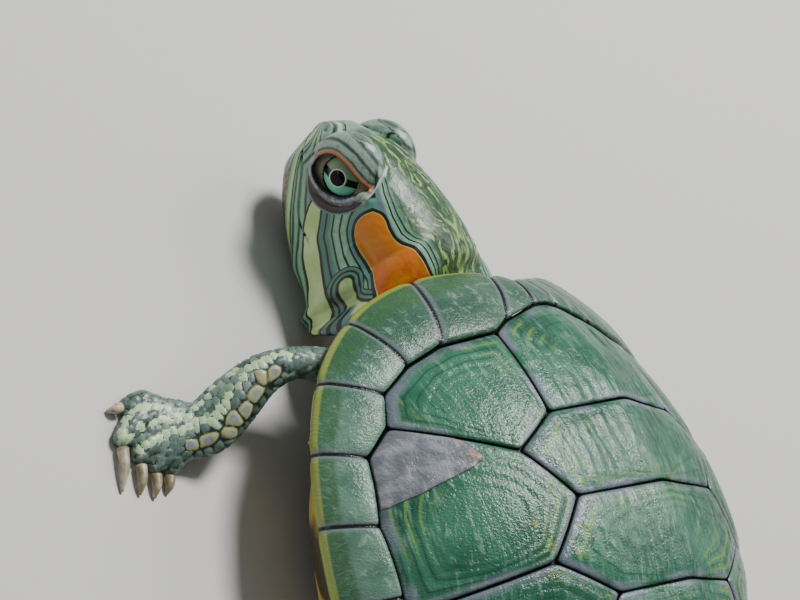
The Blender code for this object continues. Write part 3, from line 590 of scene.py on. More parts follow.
def rim_profile():
    """Way round a rim scute's section: share of the way out, and drop to its underside."""
    inside = [(0.0, -0.62), (0.0, -0.25), (0.012, -0.06), (0.05, 0.0)]
    top = [(share, 0.0) for share in np.linspace(0.12, 0.90, 20)]
    edge = [(0.955, 0.0), (0.985, -0.10), (1.0, -0.35), (0.992, -0.75), (0.965, -1.0)]
    return inside + top + edge + [(share, -1.0) for share in (0.8, 0.55, 0.3, 0.1)]


def rim_seam_lines():
    """Seams between the rim scutes in plan, on both sides and at the tail."""
    lines = [np.array([CORNERS[seam], foot]) * (flip, 1)
             for seam, foot in RIM_SEAMS.items() for flip in (1, -1)]
    return lines + [np.array([[0.0, 0.40], [0.0, 0.50]])]


def rim_piece(name, node, first, last, material):
    """A row of rim scutes between two angles from the nose, with their seams cut in."""
    count = max(6, round(abs(last - first) / math.pi * RIM_COLUMNS))
    angles = np.linspace(first, last, count)
    inner, _ = reach_of(SEAM_LINE, angles)
    outer, edge = reach_of(RIM_LINE, angles)
    inner = inner + RIM_OVERLAP
    height = dome(inner * np.sin(angles), -inner * np.cos(angles))
    low_in = np.minimum(edge, height - 0.01) - RIM_THICKNESS
    lines = rim_seam_lines()
    profile = rim_profile()
    sections, seams, places, shares = [], [], [], []
    for share, drop in profile:
        radius = inner + (outer - inner) * share
        x, y = radius * np.sin(angles), -radius * np.cos(angles)
        top = height + (edge - height) * (share ** 1.2 * 0.9 + 0.1 * share)
        curl = RIM_CURL * np.sin(min(share, 1.0) * math.pi)
        bottom = low_in + (edge - RIM_THICKNESS - low_in) * share
        z = top + curl + (bottom - top - curl) * -drop
        plan = np.column_stack([x, y])
        seam = np.minimum(9.0, np.min([line_distance(plan, line) for line in lines], axis=0))
        groove = bell(seam, RIM_GROOVE_WIDTH) * RIM_GROOVE_DEPTH
        fold = bell(seam, RIM_FOLD_WIDTH) * RIM_FOLD_DEPTH
        rough = wrinkles(plan * (0.7, 0.7), RIM_SEED) * RIM_WRINKLE_DEPTH
        rough *= step_up(0.0, 0.01, seam)
        lift = (rough - groove - fold) * (1 if drop > -0.3 else 0)
        notch = bell(seam, RIM_FOLD_WIDTH) * RIM_NOTCH_DEPTH * step_up(0.85, 1.0, share)
        pull = 1 - notch / radius
        sections.append(np.column_stack([x * pull, y * pull, z + lift]))
        seams.append(seam)
        places.append(plan)
        shares.append(np.full(count, share if drop > -0.9 else UNDERSIDE_SHARE))
    columns = len(profile)
    points = np.stack(sections, 1).reshape(-1, 3)
    faces = lattice(count, columns)
    for row in (0, count - 1):
        faces.append(tuple(row * columns + k for k in range(columns)))
    plan = np.stack(places, 1).reshape(-1, 2)
    marks = {"edge": np.stack(seams, 1).ravel(), "share": np.stack(shares, 1).ravel(),
             "plan": np.column_stack([plan, np.zeros(len(plan))])}
    make_object(name, stand(points), faces, [node], material, marks)


def plastron_height(y):
    """Outer surface of the plastron: flat, its two lobes curling up a little."""
    hind = np.maximum(0.0, y - HIND_LOBE_Y) ** 2 * HIND_LOBE_CURL
    front = np.maximum(0.0, FRONT_LOBE_Y - y) ** 2 * FRONT_LOBE_CURL
    return PLASTRON_Z + hind + front


def plastron(material):
    """Lower shell with the bridges that rise to the rim at the sides."""
    half = smooth_line([(x, y, 0) for x, y in PLASTRON], 4)
    angles = np.arange(PLASTRON_COLUMNS) / PLASTRON_COLUMNS * math.tau
    radius, _ = reach_of(half, angles)
    edge_y = -radius * np.cos(angles)
    inside = np.minimum(edge_y - BRIDGE_FRONT_Y, BRIDGE_BACK_Y - edge_y)
    bridge = step_up(0.0, 0.05, inside)
    outer, inner = [], []
    for share in np.concatenate([np.linspace(0.02, 0.68, 12), np.linspace(0.71, 1.0, 16)]):
        x, y = radius * share * np.sin(angles), -radius * share * np.cos(angles)
        turn = max(0.0, (share - BRIDGE_START) / (1 - BRIDGE_START)) * math.pi / 2
        rise = BRIDGE_RISE * (1 - math.cos(turn)) * bridge
        wall = BRIDGE_START + (1 - BRIDGE_START) * math.sin(turn)
        bulge = 1 + bridge * (wall / share - 1) * (share > BRIDGE_START)
        base = np.column_stack([x * bulge, y, plastron_height(y) + rise])
        thin = PLASTRON_THICKNESS * (0.85 if share < 0.97 else 0.55)
        inward = np.column_stack([-np.sin(angles) * bridge * (share > 0.7),
                                  np.zeros(len(angles)),
                                  np.ones(len(angles)) * (1 - bridge * max(0, share - 0.7))])
        outer.append(base)
        inner.append(base + unit(inward) * thin)
    points, faces = tube_mesh(inner + outer[::-1])
    placed = stand(points)
    placed[:, 2] = np.maximum(placed[:, 2], 0.0)
    make_object("plastron_horn", placed, faces, ["plastron"], material)


# ---------------------------------------------------------------- skin as a field
def crossed_cells(field):
    """Crossed edges of each cell of a sampled field, how many, and the sum of their places."""
    cells = tuple(np.array(field.shape) - 1)
    count = np.zeros(cells)
    total = np.zeros((*cells, 3))
    crossings = []
    for axis in range(3):
        a = np.moveaxis(field, axis, 0)[:-1]
        b = np.moveaxis(field, axis, 0)[1:]
        cross = (a < 0) != (b < 0)
        share = np.where(cross, a / np.where(cross, a - b, 1), 0)
        crossings.append((cross, a < 0))
        first, second = [k for k in range(3) if k != axis]
        counts = np.moveaxis(count, axis, 0)
        totals = np.moveaxis(total, axis, 0)
        for u, v in product((0, 1), repeat=2):
            window = np.s_[:, u:u + cells[first], v:v + cells[second]]
            counts += cross[window]
            totals[..., axis] += cross[window] * share[window]
            totals[..., first] += cross[window] * u
            totals[..., second] += cross[window] * v
    return crossings, count, total


def net_quads(crossings, index):
    """One quad round each crossed edge, joining the points of its four cells."""
    faces = []
    for axis, (cross, starts_in) in enumerate(crossings):
        lookup = np.moveaxis(index, axis, 0)
        e, u, v = np.nonzero(cross[:, 1:-1, 1:-1])
        quad = np.stack([lookup[e, u, v], lookup[e, u + 1, v],
                         lookup[e, u + 1, v + 1], lookup[e, u, v + 1]], 1)
        flip = starts_in[:, 1:-1, 1:-1][e, u, v]
        if axis == 1:
            flip = ~flip
        quad[~flip] = quad[~flip][:, ::-1]
        faces.append(quad)
    return np.vstack(faces)


def surface_net(field, low, step):
    """Points and quads of the surface where a sampled field is zero."""
    crossings, count, total = crossed_cells(field)
    used = count > 0
    index = np.full(used.shape, -1)
    index[used] = np.arange(used.sum())
    places = np.argwhere(used) + total[used] / count[used][:, None]
    return np.asarray(low) + step * places, net_quads(crossings, index)


def slope_of(function, points, step=0.0006):
    """Gradient of a field at rows of points."""
    parts = []
    for axis in range(3):
        offset = np.zeros(3)
        offset[axis] = step
        parts.append((function(points + offset) - function(points - offset)) / (2 * step))
    return np.stack(parts, 1)


# Cells along a side of the blocks in which a field is first tried out
CULL_BLOCK = 6


def sample_field(function, low, step, size):
    """A field on a grid, worked out finely only near its surface."""
    blocks = -(-size // CULL_BLOCK)
    axes = [low[k] + step * (np.arange(blocks[k]) * CULL_BLOCK + (CULL_BLOCK - 1) / 2)
            for k in range(3)]
    middles = np.stack(np.meshgrid(*axes, indexing="ij"), -1).reshape(-1, 3)
    coarse = function(middles).reshape(blocks)
    values = coarse
    for axis in range(3):
        values = np.repeat(values, CULL_BLOCK, axis=axis)
    near = np.argwhere(np.abs(coarse) < step * CULL_BLOCK * 1.6)
    inner = np.stack(np.meshgrid(*[np.arange(CULL_BLOCK)] * 3, indexing="ij"), -1).reshape(-1, 3)
    for batch in np.array_split(near, max(1, len(near) // 400)):
        cells = (batch[:, None] * CULL_BLOCK + inner).reshape(-1, 3)
        values[tuple(cells.T)] = function(low + step * cells)
    return values[:size[0], :size[1], :size[2]].copy()


def net_of(function, low, high, step):
    """Surface of a field inside a box, drawn close to the true surface."""
    low, high = np.asarray(low, float), np.asarray(high, float)
    size = np.ceil((high - low) / step).astype(int) + 1
    values = sample_field(function, low, step, size)
    for axis in range(3):
        edge = np.moveaxis(values, axis, 0)
        edge[0] = np.maximum(edge[0], 1e-4)
        edge[-1] = np.maximum(edge[-1], 1e-4)
    points, faces = surface_net(values, low, step)
    for _ in range(2):
        value = function(points)
        slope = slope_of(function, points)
        steepness = np.maximum((slope ** 2).sum(1), 0.04)
        move = np.clip(value / steepness, -step * 0.6, step * 0.6)
        points = points - slope * move[:, None]
    return points, faces


def tube_field(points, stations, looks, steps=3):
    """About the distance to a bent tube with flat oval sections."""
    line = smooth_line(stations, steps)
    looks = smooth_line(looks, steps)
    best = np.full(len(points), 9.0)
    for a, b, look in zip(line, line[1:], looks):
        axis = b[:3] - a[:3]
        length = np.linalg.norm(axis)
        along = axis / length
        t = np.clip((points - a[:3]) @ along / length, 0, 1)
        off = points - a[:3] - t[:, None] * axis
        side = unit(np.cross(look, along))
        top = np.cross(along, side)
        wide = a[3] + (b[3] - a[3]) * t
        high = a[4] + (b[4] - a[4]) * t
        small = np.minimum(wide, high)
        r = np.sqrt((off @ side / wide) ** 2 + (off @ top / high) ** 2
                    + (off @ along / small) ** 2)
        best = np.minimum(best, (r - 1) * small)
    return best


def head_axes():
    """Forward, left and up directions of the head, in the turtle's frame."""
    forward = np.array([math.sin(HEAD_YAW) * math.cos(HEAD_PITCH),
                        -math.cos(HEAD_YAW) * math.cos(HEAD_PITCH), math.sin(HEAD_PITCH)])
    level_left = unit(np.cross((0, 0, 1), forward))
    level_up = np.cross(forward, level_left)
    left = level_left * math.cos(HEAD_ROLL) + level_up * math.sin(HEAD_ROLL)
    return np.array([forward, left, np.cross(forward, left)])


HEAD_AXES = head_axes()


def to_head(points):
    """Forward, left and up of points in head widths from between the eyes."""
    return (points - HEAD_CENTRE) @ HEAD_AXES.T / HEAD_WIDTH


def from_head(places):
    """Points of the turtle's frame for places in head widths."""
    return np.asarray(places, float) @ HEAD_AXES * HEAD_WIDTH + HEAD_CENTRE


SECTION_LINE = smooth_line(HEAD_SECTIONS, 8)
EYE_BACK = unit((-0.845, 0.535))
EYE_RISE = unit((0.535, 0.845))
OPENING_LOOP = smooth_line(EYE_OPENING + EYE_OPENING[:1], 3)
MOUTH_LINE = smooth_line(MOUTH, 4)


def section_reach(aside, above, half, top, low, lean, power):
    """Share of the way to the edge of a rounded section, and the least half size."""
    middle = top * 0.6 + low * 0.4
    reach = np.where(above > middle, top - middle, middle - low)
    aside = aside - lean * np.maximum(middle - above, 0.0)
    r = (np.abs(aside / half) ** power + np.abs((above - middle) / reach) ** power) ** (1 / power)
    return r, np.minimum(half, reach)


def skull_field(p):
    """The head without its lids, about a distance in head widths."""
    a, b, c = p.T
    half, top, low, lean = [np.interp(a, SECTION_LINE[:, 0], SECTION_LINE[:, k])
                            for k in (1, 2, 3, 4)]
    r, small = section_reach(b, c, half, top, low, lean, HEAD_SQUARENESS)
    front = a - (0.481 - 0.09 * np.clip(r, 0, 1) ** 2)
    return soft_max((r - 1) * small * 0.9, front, 0.05)


def eye_place(q):
    """Place about an eye: along the lids, up from them, outwards, and distance."""
    off = q - EYE_CENTRE
    along = off[:, 0] * EYE_BACK[0] + off[:, 2] * EYE_BACK[1]
    rise = off[:, 0] * EYE_RISE[0] + off[:, 2] * EYE_RISE[1]
    return along, rise, off[:, 1], np.linalg.norm(off, axis=1)


def lid_gap(along, rise):
    """Distance outside the opening between the lids, less than nothing inside it."""
    gap = np.full(len(along), 0.3)
    near = (np.abs(along) < 0.36) & (np.abs(rise) < 0.30)
    spots = np.column_stack([along[near], rise[near]])
    gap[near] = loop_distance(spots, OPENING_LOOP)
    return gap


def corner_lobe(along, rise):
    """Distance from the pale lobe in the rear corner of the eye, one at its edge."""
    return np.hypot((along - 0.236) / 0.055, (rise + 0.043) / 0.038)


def lower_lid(along, rise):
    """One at the lower lid, nothing at the upper one."""
    return step_up(0.03, -0.05, rise + 0.25 * along)


def lid_folds(ahead, gap, ring, below):
    """Height of the folds round the opening between the lids."""
    above = 1 - below
    folds = 0.014 * bell(gap - 0.026, 0.022) * below + 0.009 * bell(gap - 0.012, 0.012) * above
    folds -= 0.016 * bell(gap - 0.062, 0.012) * below + 0.004 * bell(gap - 0.040, 0.007) * above
    rear = bell(ring - 0.278, 0.007) + bell(ring - 0.252, 0.006)
    return folds + 0.005 * rear * step_up(0.0, -0.1, ahead)


def head_field(p):
    """The head with lids, eye openings, mouth line and nostrils, in head widths."""
    body = skull_field(p)
    q = np.column_stack([p[:, 0], np.abs(p[:, 1]), p[:, 2]])
    a, b, c = q.T
    off = (q - LID_CENTRE) / LID_SHAPE
    lid = (np.linalg.norm(off, axis=1) - LID_RADIUS) * 0.7
    ring = np.hypot(off[:, 0], off[:, 2])
    seam = np.hypot(body, lid)
    body = soft_min(body, lid, 0.02) + 0.012 * bell(seam, 0.018)
    along, rise, out, ball = eye_place(q)
    gap = lid_gap(along, rise)
    folds = lid_folds(a, gap, ring, lower_lid(along, rise))
    body = body - np.where(b > 0.2, folds, 0.0)
    floor = (np.sqrt((along / EYE_FLOOR[0]) ** 2 + (rise / EYE_FLOOR[1]) ** 2
                     + (out / EYE_FLOOR[2]) ** 2) - 1) * EYE_FLOOR[2]
    hollow = np.where(out > 0, np.minimum(-gap, floor), -1.0)
    body = soft_max(body, hollow, 0.010)
    body = np.maximum(body, EYE_RADIUS + 0.006 - ball)
    line = np.interp(a, MOUTH_LINE[::-1, 0], MOUTH_LINE[::-1, 1])
    back = step_up(MOUTH[-1][0] - 0.06, MOUTH[-1][0] + 0.03, a)
    body = body + MOUTH_DEPTH * back * bell(c - line, MOUTH_WIDTH)
    body = body + JAW_STEP * back * step_up(line, line - 0.02, c)
    body = body + NOSTRIL_DEPTH * bell(np.linalg.norm(q - NOSTRIL, axis=1), NOSTRIL_WIDTH)
    body = body - LOBE_HEIGHT * bell(corner_lobe(along, rise), 0.9) * (b > 0.2)
    drum = np.linalg.norm(q - EARDRUM, axis=1)
    return body + 0.008 * bell(drum, 0.12) - 0.004 * bell(drum - 0.14, 0.02)


def neck_line():
    """Rings of the neck: middle, left and up directions, and the rounded section."""
    rows = []
    for x, y, z, wide, top, low, lean, turn, tilt in NECK:
        turn, tilt = math.radians(turn), math.radians(tilt)
        left = (math.cos(turn) * math.cos(tilt), math.sin(turn) * math.cos(tilt), -math.sin(tilt))
        rows.append((x, y, z, *left, math.sin(tilt), 0.0, math.cos(tilt),
                     wide, top, low, lean, 2.1))
    for ahead, half, top, low, lean in HEAD_SECTIONS[:2]:
        rows.append((*from_head((ahead, 0.0, 0.0)), *HEAD_AXES[1], *HEAD_AXES[2],
                     half * HEAD_WIDTH, top * HEAD_WIDTH, low * HEAD_WIDTH, lean, HEAD_SQUARENESS))
    return smooth_line(rows, 4)[:-4]


NECK_LINE = neck_line()


def neck_field(points):
    """Neck from the trunk to the back of the head."""
    best = np.full(len(points), 0.05)
    for low, high in zip(NECK_LINE, NECK_LINE[1:]):
        before = (points - low[:3]) @ np.cross(low[3:6], low[6:9])
        after = (points - high[:3]) @ np.cross(high[3:6], high[6:9])
        inside = (before >= 0) & (after <= 0)
        share = before[inside] / np.maximum(before[inside] - after[inside], 1e-9)
        row = low + (high - low) * share[:, None]
        off = points[inside] - row[:, :3]
        aside, above = (off * row[:, 3:6]).sum(1), (off * row[:, 6:9]).sum(1)
        r, small = section_reach(aside, above, *row[:, 9:14].T)
        best[inside] = (r - 1) * small
    return best


def head_neck_field(points):
    """Head and neck together, in shell lengths."""
    place = to_head(points)
    field = np.empty(len(points))
    ahead = place[:, 0] > HEAD_SECTIONS[0][0]
    field[ahead] = head_field(place[ahead]) * HEAD_WIDTH
    field[~ahead] = neck_field(points[~ahead])
    return field


def floor_at(y):
    """Height of the floor in the turtle's frame."""
    return (y * math.sin(NOSE_UP) - FLOOR_DROP) / math.cos(NOSE_UP)


def digit_stations(digit):
    """Stations of one finger or toe along the floor."""
    base, knuckle, tip, thick, _ = digit
    sizes = ((base, thick * 1.0), (knuckle, thick * 1.05), (tip, thick * 0.72))
    return [(x, y, floor_at(y) + size * 0.85, size, size) for (x, y), size in sizes]


def limb_field(points, lengths, looks, digits):
    """A limb with its digits, webbed together."""
    stations = [s for run in lengths for s in run]
    faces = [look for look, run in zip(looks, lengths) for _ in run]
    body = tube_field(points, stations, faces)
    toes = np.full(len(points), 9.0)
    near = np.linalg.norm(points - np.array(lengths[2][-1][:3]), axis=1) < 0.16
    for digit in digits:
        toe = np.full(len(points), 9.0)
        rows = digit_stations(digit)
        toe[near] = tube_field(points[near], rows, [UP] * 3, 2)
        toes = np.minimum(toes, toe)
    return soft_min(body, toes, 0.006)


def trunk_field(points):
    """Flesh between the carapace and the plastron, with the tail."""
    x, y, z = points.T
    outline = ((np.abs(x) / TRUNK_HALF_WIDTH) ** TRUNK_SQUARENESS
               + (np.abs(y) / TRUNK_HALF_LENGTH) ** TRUNK_SQUARENESS) ** (1 / TRUNK_SQUARENESS)
    side = (outline - 1) * TRUNK_HALF_LENGTH
    angle = np.arctan2(x, -y)
    reach, _ = reach_of(SEAM_LINE, angle)
    _, edge = reach_of(RIM_LINE, angle)
    share = np.minimum(np.hypot(x, y) / reach, 1)
    roof = edge * share ** 2 - RIM_THICKNESS - GAP
    floor = plastron_height(y) + PLASTRON_THICKNESS + GAP
    body = soft_max(soft_max(z - roof, floor - z, 0.02), side, 0.02)
    tail = tube_field(points, TAIL, [UP] * len(TAIL))
    return soft_min(body, tail, 0.006)


ARM = (UPPER_ARM, FOREARM, PALM)
LEG = (THIGH, SHANK, SOLE)
ARM_LOOKS = (ARM_FACE, ARM_FACE, UP)
LEG_LOOKS = (UP, UP, UP)


def arm_field(points):
    """The left arm and hand."""
    return limb_field(points, ARM, ARM_LOOKS, FINGERS)


def leg_field(points):
    """The left leg and foot."""
    return limb_field(points, LEG, LEG_LOOKS, TOES)


def turned(points, turn, pivot):
    """Mirror left-hand points in metres, then turn them about an upright axis."""
    middle = ORIGIN_SHIFT[0]
    flip = points * (-1, 1, 1) + (2 * middle, 0, 0)
    hinge = stand([pivot])[0] * (-1, 1, 1) + (2 * middle, 0, 0)
    spin = np.array([[math.cos(turn), -math.sin(turn), 0],
                     [math.sin(turn), math.cos(turn), 0], [0, 0, 1]])
    return (flip - hinge) @ spin.T + hinge


SCALE_SIZE = 0.0095
LARGE_SCALE_MORE = 0.020
SCALE_HEIGHT = 0.0020
SEED_CELL = 0.012


def seeds_on(points, spacing, order):
    """Spread seed points over a surface, no two closer than the spacing."""
    kept, table = [], {}
    for index in order:
        p = points[index]
        reach = spacing[index]
        cell = tuple(np.floor(p / SEED_CELL).astype(int))
        near = (k for o in product((-1, 0, 1), repeat=3)
                for k in table.get((cell[0] + o[0], cell[1] + o[1], cell[2] + o[2]), ()))
        if all((p[0] - q[0]) ** 2 + (p[1] - q[1]) ** 2 + (p[2] - q[2]) ** 2 > reach * reach
               for q in near):
            kept.append(p)
            table.setdefault(cell, []).append(tuple(p))
    return np.array(kept)


def cells_on(points, seeds):
    """Distance to the nearest seed, to the next beyond it, and the seed's number."""
    tree = KDTree(len(seeds))
    for k, seed in enumerate(seeds):
        tree.insert(seed, k)
    tree.balance()
    found = [tree.find_n(p, 2) for p in points]
    first = np.array([f[0][2] for f in found])
    second = np.array([f[1][2] for f in found])
    owner = np.array([f[0][1] for f in found])
    return first, second, owner


def scaled(points, function, seed, spacing):
    """Raise scales on skin points; also the crease, tone and middle of each scale."""
    order = np.random.default_rng(seed).permutation(len(points))
    seeds = seeds_on(points, spacing, order)
    first, second, owner = cells_on(points, seeds)
    crease = (second - first) / spacing
    bump = step_up(0.02, 0.30, crease) - 0.35 * np.clip(first / spacing, 0, 1) ** 2
    slope = unit(slope_of(function, points))
    moved = points + slope * (SCALE_HEIGHT * (bump - 0.75))[:, None]
    tone = np.random.default_rng(seed + 1).random(len(seeds))[owner]
    return moved, crease, tone, seeds[owner]


def above_line(spots, line):
    """Distance from a line that runs back along the head, positive above it."""
    line = smooth_line(line, 3)
    level = np.interp(spots[:, 0], line[::-1, 0], line[::-1, 1])
    return line_distance(spots, line) * np.sign(spots[:, 1] - level)


def head_marks(place):
    """What the markings of the head need: distances from lines drawn on it."""
    side = np.abs(place[:, 1])
    spots = np.column_stack([place[:, 0], 0.5 * np.arctan2(place[:, 2] + 0.12, side)])
    patch = signed_loop(spots, EAR_PATCH)
    stripe = signed_loop(spots, STRIPE_HIGH + STRIPE_LOW[::-1])
    loop = line_distance(spots, smooth_line(LOOP_AXIS, 3))
    high = above_line(spots, STRIPE_HIGH)
    between = high / (np.abs(high) + np.maximum(patch, 0.0) + 1e-6)
    jaw = above_line(spots, JAW_STRIPE)
    crown = spots[:, 1] - np.interp(spots[:, 0], *np.array(CROWN_EDGE[::-1]).T)
    q = np.column_stack([place[:, 0], side, place[:, 2]])
    along, rise, _, _ = eye_place(q)
    gap = lid_gap(along, rise)
    off = (q - LID_CENTRE) / LID_SHAPE
    ring = np.hypot(off[:, 0], off[:, 2]) + (side < 0.2)
    return {"patch": np.column_stack([patch, stripe, loop]),
            "lines": np.column_stack([between, jaw, crown]),
            "lid": np.column_stack([gap, ring, lower_lid(along, rise)]),
            "lobe": corner_lobe(along, rise),
            "round": np.column_stack([spots, line_distance(spots, np.array(SNOUT_STRIPE))])}


HEAD_PART, ARM_PART, LEG_PART, TRUNK_PART = range(4)


def skin_marks(place, part, given):
    """All marks of a part of the skin: those that are given, and plain ones for the rest."""
    count = len(place)
    marks = {key: np.zeros((count, 3)) for key in ("patch", "lines", "lid", "round")}
    marks.update({"place": place, "part": np.full(count, float(part)), "row": np.zeros(count),
                  "crease": np.ones(count), "tone": np.full(count, 0.5),
                  "lobe": np.zeros(count)})
    marks.update(given)
    return marks


def join_parts(parts):
    """Stack lists of points, faces and marks into one mesh."""
    points, faces, marks, start = [], [], [], 0
    for spots, quads, values in parts:
        points.append(spots)
        faces += [tuple(int(k) + start for k in f) for f in quads]
        marks.append(values)
        start += len(spots)
    keys = marks[0].keys()
    joined = {k: np.concatenate([m[k] for m in marks]) for k in keys}
    return np.vstack(points), faces, joined


NECK_FOLD_TURNS = 26
NECK_FOLD_HEIGHT = 0.0012
SKIN_UNEVENNESS = 0.0004


def head_part(step):
    """Skin of the head and neck with its marks."""
    low, high = (-0.10, -0.80, -0.26), (0.33, -0.34, 0.07)
    points, faces = net_of(head_neck_field, low, high, step)
    place = to_head(points)
    slope = unit(slope_of(head_neck_field, points))
    fold = np.sin(place[:, 0] * NECK_FOLD_TURNS + noise(place * 3, 4) * 2.2)
    behind = step_up(-0.72, -1.0, place[:, 0])
    rise = fold * NECK_FOLD_HEIGHT * behind + noise(place * 24, 8) * SKIN_UNEVENNESS
    points = points + slope * rise[:, None]
    return stand(points), faces, skin_marks(place, HEAD_PART, head_marks(place))


def scale_spacing(points, part):
    """Size of the scales of a limb, with the large ones on the arm's lower edge."""
    size = np.full(len(points), SCALE_SIZE)
    if part == ARM_PART:
        edge = line_distance(points, np.array(ARM_EDGE))
        size += LARGE_SCALE_MORE * step_up(0.024, 0.012, edge) * step_up(0.60, 0.55, points[:, 0])
    return size


def scale_rows(middle, part):
    """One on the pale rows of scales, less than nothing on the large ones."""
    if part == LEG_PART:
        ridge = np.array([(x, y, z + high) for x, y, z, _, high in (*THIGH, *SHANK, *SOLE)])
        return 0.9 * bell(line_distance(middle, ridge), 0.011)
    row = np.zeros(len(middle))
    for line, share in ((ARM_ROW, 1.0), (ARM_TOP, 0.8), (TOE_RIDGE, 0.9), (TOE_RIDGE_LOW, 0.9)):
        row = np.maximum(row, share * bell(line_distance(middle, np.array(line)), 0.0075))
    edge = line_distance(middle, np.array(ARM_EDGE))
    return row - step_up(0.022, 0.014, edge) * (row < 0.4)


def limb_part(function, low, high, step, seed, part):
    """Skin of one left limb, with its scales."""
    place, faces = net_of(function, low, high, step)
    points, crease, tone, middle = scaled(place, function, seed, scale_spacing(place, part))
    given = {"row": scale_rows(middle, part), "crease": crease, "tone": tone}
    return stand(points), faces, skin_marks(place, part, given)


# Cells of the skin over head and limbs, and over the hidden trunk, in shell lengths
FULL_STEPS = (0.0024, 0.0036)
TRUNK_STEP = 0.010


def skin(material):
    """One skin over head, neck, trunk, limbs and tail."""
    head_step, limb_step = FULL_STEPS
    head = head_part(head_step)
    arm = limb_part(arm_field, (0.24, -0.40, -0.27), (0.74, -0.10, -0.01), limb_step, 11,
                    ARM_PART)
    leg = limb_part(leg_field, (0.21, 0.15, -0.16), (0.63, 0.63, 0.01), limb_step, 12,
                    LEG_PART)
    trunk, trunk_faces = net_of(trunk_field, (-0.34, -0.37, -0.14), (0.34, 0.66, 0.06),
                                TRUNK_STEP)
    parts = [head, arm, leg, (stand(trunk), trunk_faces, skin_marks(trunk, TRUNK_PART, {}))]
    for limb, turn, first in ((arm, RIGHT_ARM_TURN, UPPER_ARM[0]),
                              (leg, RIGHT_LEG_TURN, THIGH[0])):
        parts.append((turned(limb[0], turn, first[:3]), limb[1][:, ::-1], limb[2]))
    points, faces, marks = join_parts(parts)
    points[:, 2] = np.maximum(points[:, 2], 0.0)
    flesh = ["trunk", "neck", "tail", "head", "lower_jaw"]
    for side in ("left", "right"):
        flesh += [f"{side}_{n}" for n in ("upper_arm", "forearm", "hand",
                                          "thigh", "shank", "foot")]
    make_object("skin", points, faces, flesh, material, marks, outwards=False)


def eye(name, side, material):
    """An eyeball with the bulge of its cornea."""
    angles = np.arange(EYE_COLUMNS) / EYE_COLUMNS * math.tau
    rings, places = [], []
    for r in range(1, EYE_ROWS):
        turn = math.pi * r / EYE_ROWS
        out = math.cos(turn)
        radius = EYE_RADIUS * (1 + CORNEA_BULGE * step_up(0.80, 0.97, out))
        u, v = math.sin(turn) * np.cos(angles), math.sin(turn) * np.sin(angles)
        spot = np.column_stack([u * EYE_BACK[0] + v * EYE_RISE[0], np.full(EYE_COLUMNS, out),
                                u * EYE_BACK[1] + v * EYE_RISE[1]]) * radius
        spot = spot + EYE_CENTRE
        spot[:, 1] *= side
        rings.append(stand(from_head(spot)))
        places.append(np.column_stack([u, v, np.full(EYE_COLUMNS, out)]))
    points, faces = tube_mesh(rings)
    place = np.vstack(places + [[[0, 0, 1.0]], [[0, 0, -1.0]]])
    make_object(f"{name}_ball", points, faces, [name], material, {"eye_place": place})


def claw(foot, number, digit, turn, pivot, material):
    """A curved claw on the left foot or hand, and its right-hand copy."""
    _, _, tip, thick, point = digit
    start, end = np.array(tip), np.array(point)
    ahead = unit(end - start)
    root = start + ahead * (thick * 0.72 + GAP * 0.4)
    high = thick * 0.62
    middle = (root + end) / 2
    stations = [(*root, floor_at(root[1]) + high, CLAW_ROOT, CLAW_ROOT),
                (*middle, floor_at(middle[1]) + high * 1.1, CLAW_ROOT * 0.72, CLAW_ROOT * 0.8),
                (*end, floor_at(end[1]) + 0.003, 0.0028, 0.0028)]
    line = smooth_line(stations, 8)
    rings = []
    for k, row in enumerate(line):
        along = unit(line[min(k + 1, len(line) - 1), :3] - line[max(k - 1, 0), :3])
        side = unit(np.cross((0, 0, 1), along))
        top = np.cross(along, side)
        turns = np.arange(CLAW_SIDES) / CLAW_SIDES * math.tau
        rings.append(row[:3] + np.outer(np.cos(turns) * row[3], side)
                     + np.outer(np.sin(turns) * row[4], top))
    points, faces = tube_mesh(rings)
    placed = stand(points)
    for word, spots in (("left", placed), ("right", turned(placed, turn, pivot))):
        spots = spots.copy()
        spots[:, 2] = np.maximum(spots[:, 2], 0.0)
        node = f"{word}_{foot}_claw_{number}"
        make_object(f"{node}_horn", spots, faces, [node], material)


# ---------------------------------------------------------------- materials
def new_material(name, roughness):
    """A material and shorthand for its nodes."""
    material = bpy.data.materials.new(name)
    material.use_nodes = True
    tree = material.node_tree
    shader = tree.nodes["Principled BSDF"]
    shader.inputs["Roughness"].default_value = roughness
    return material, Nodes(tree, shader)


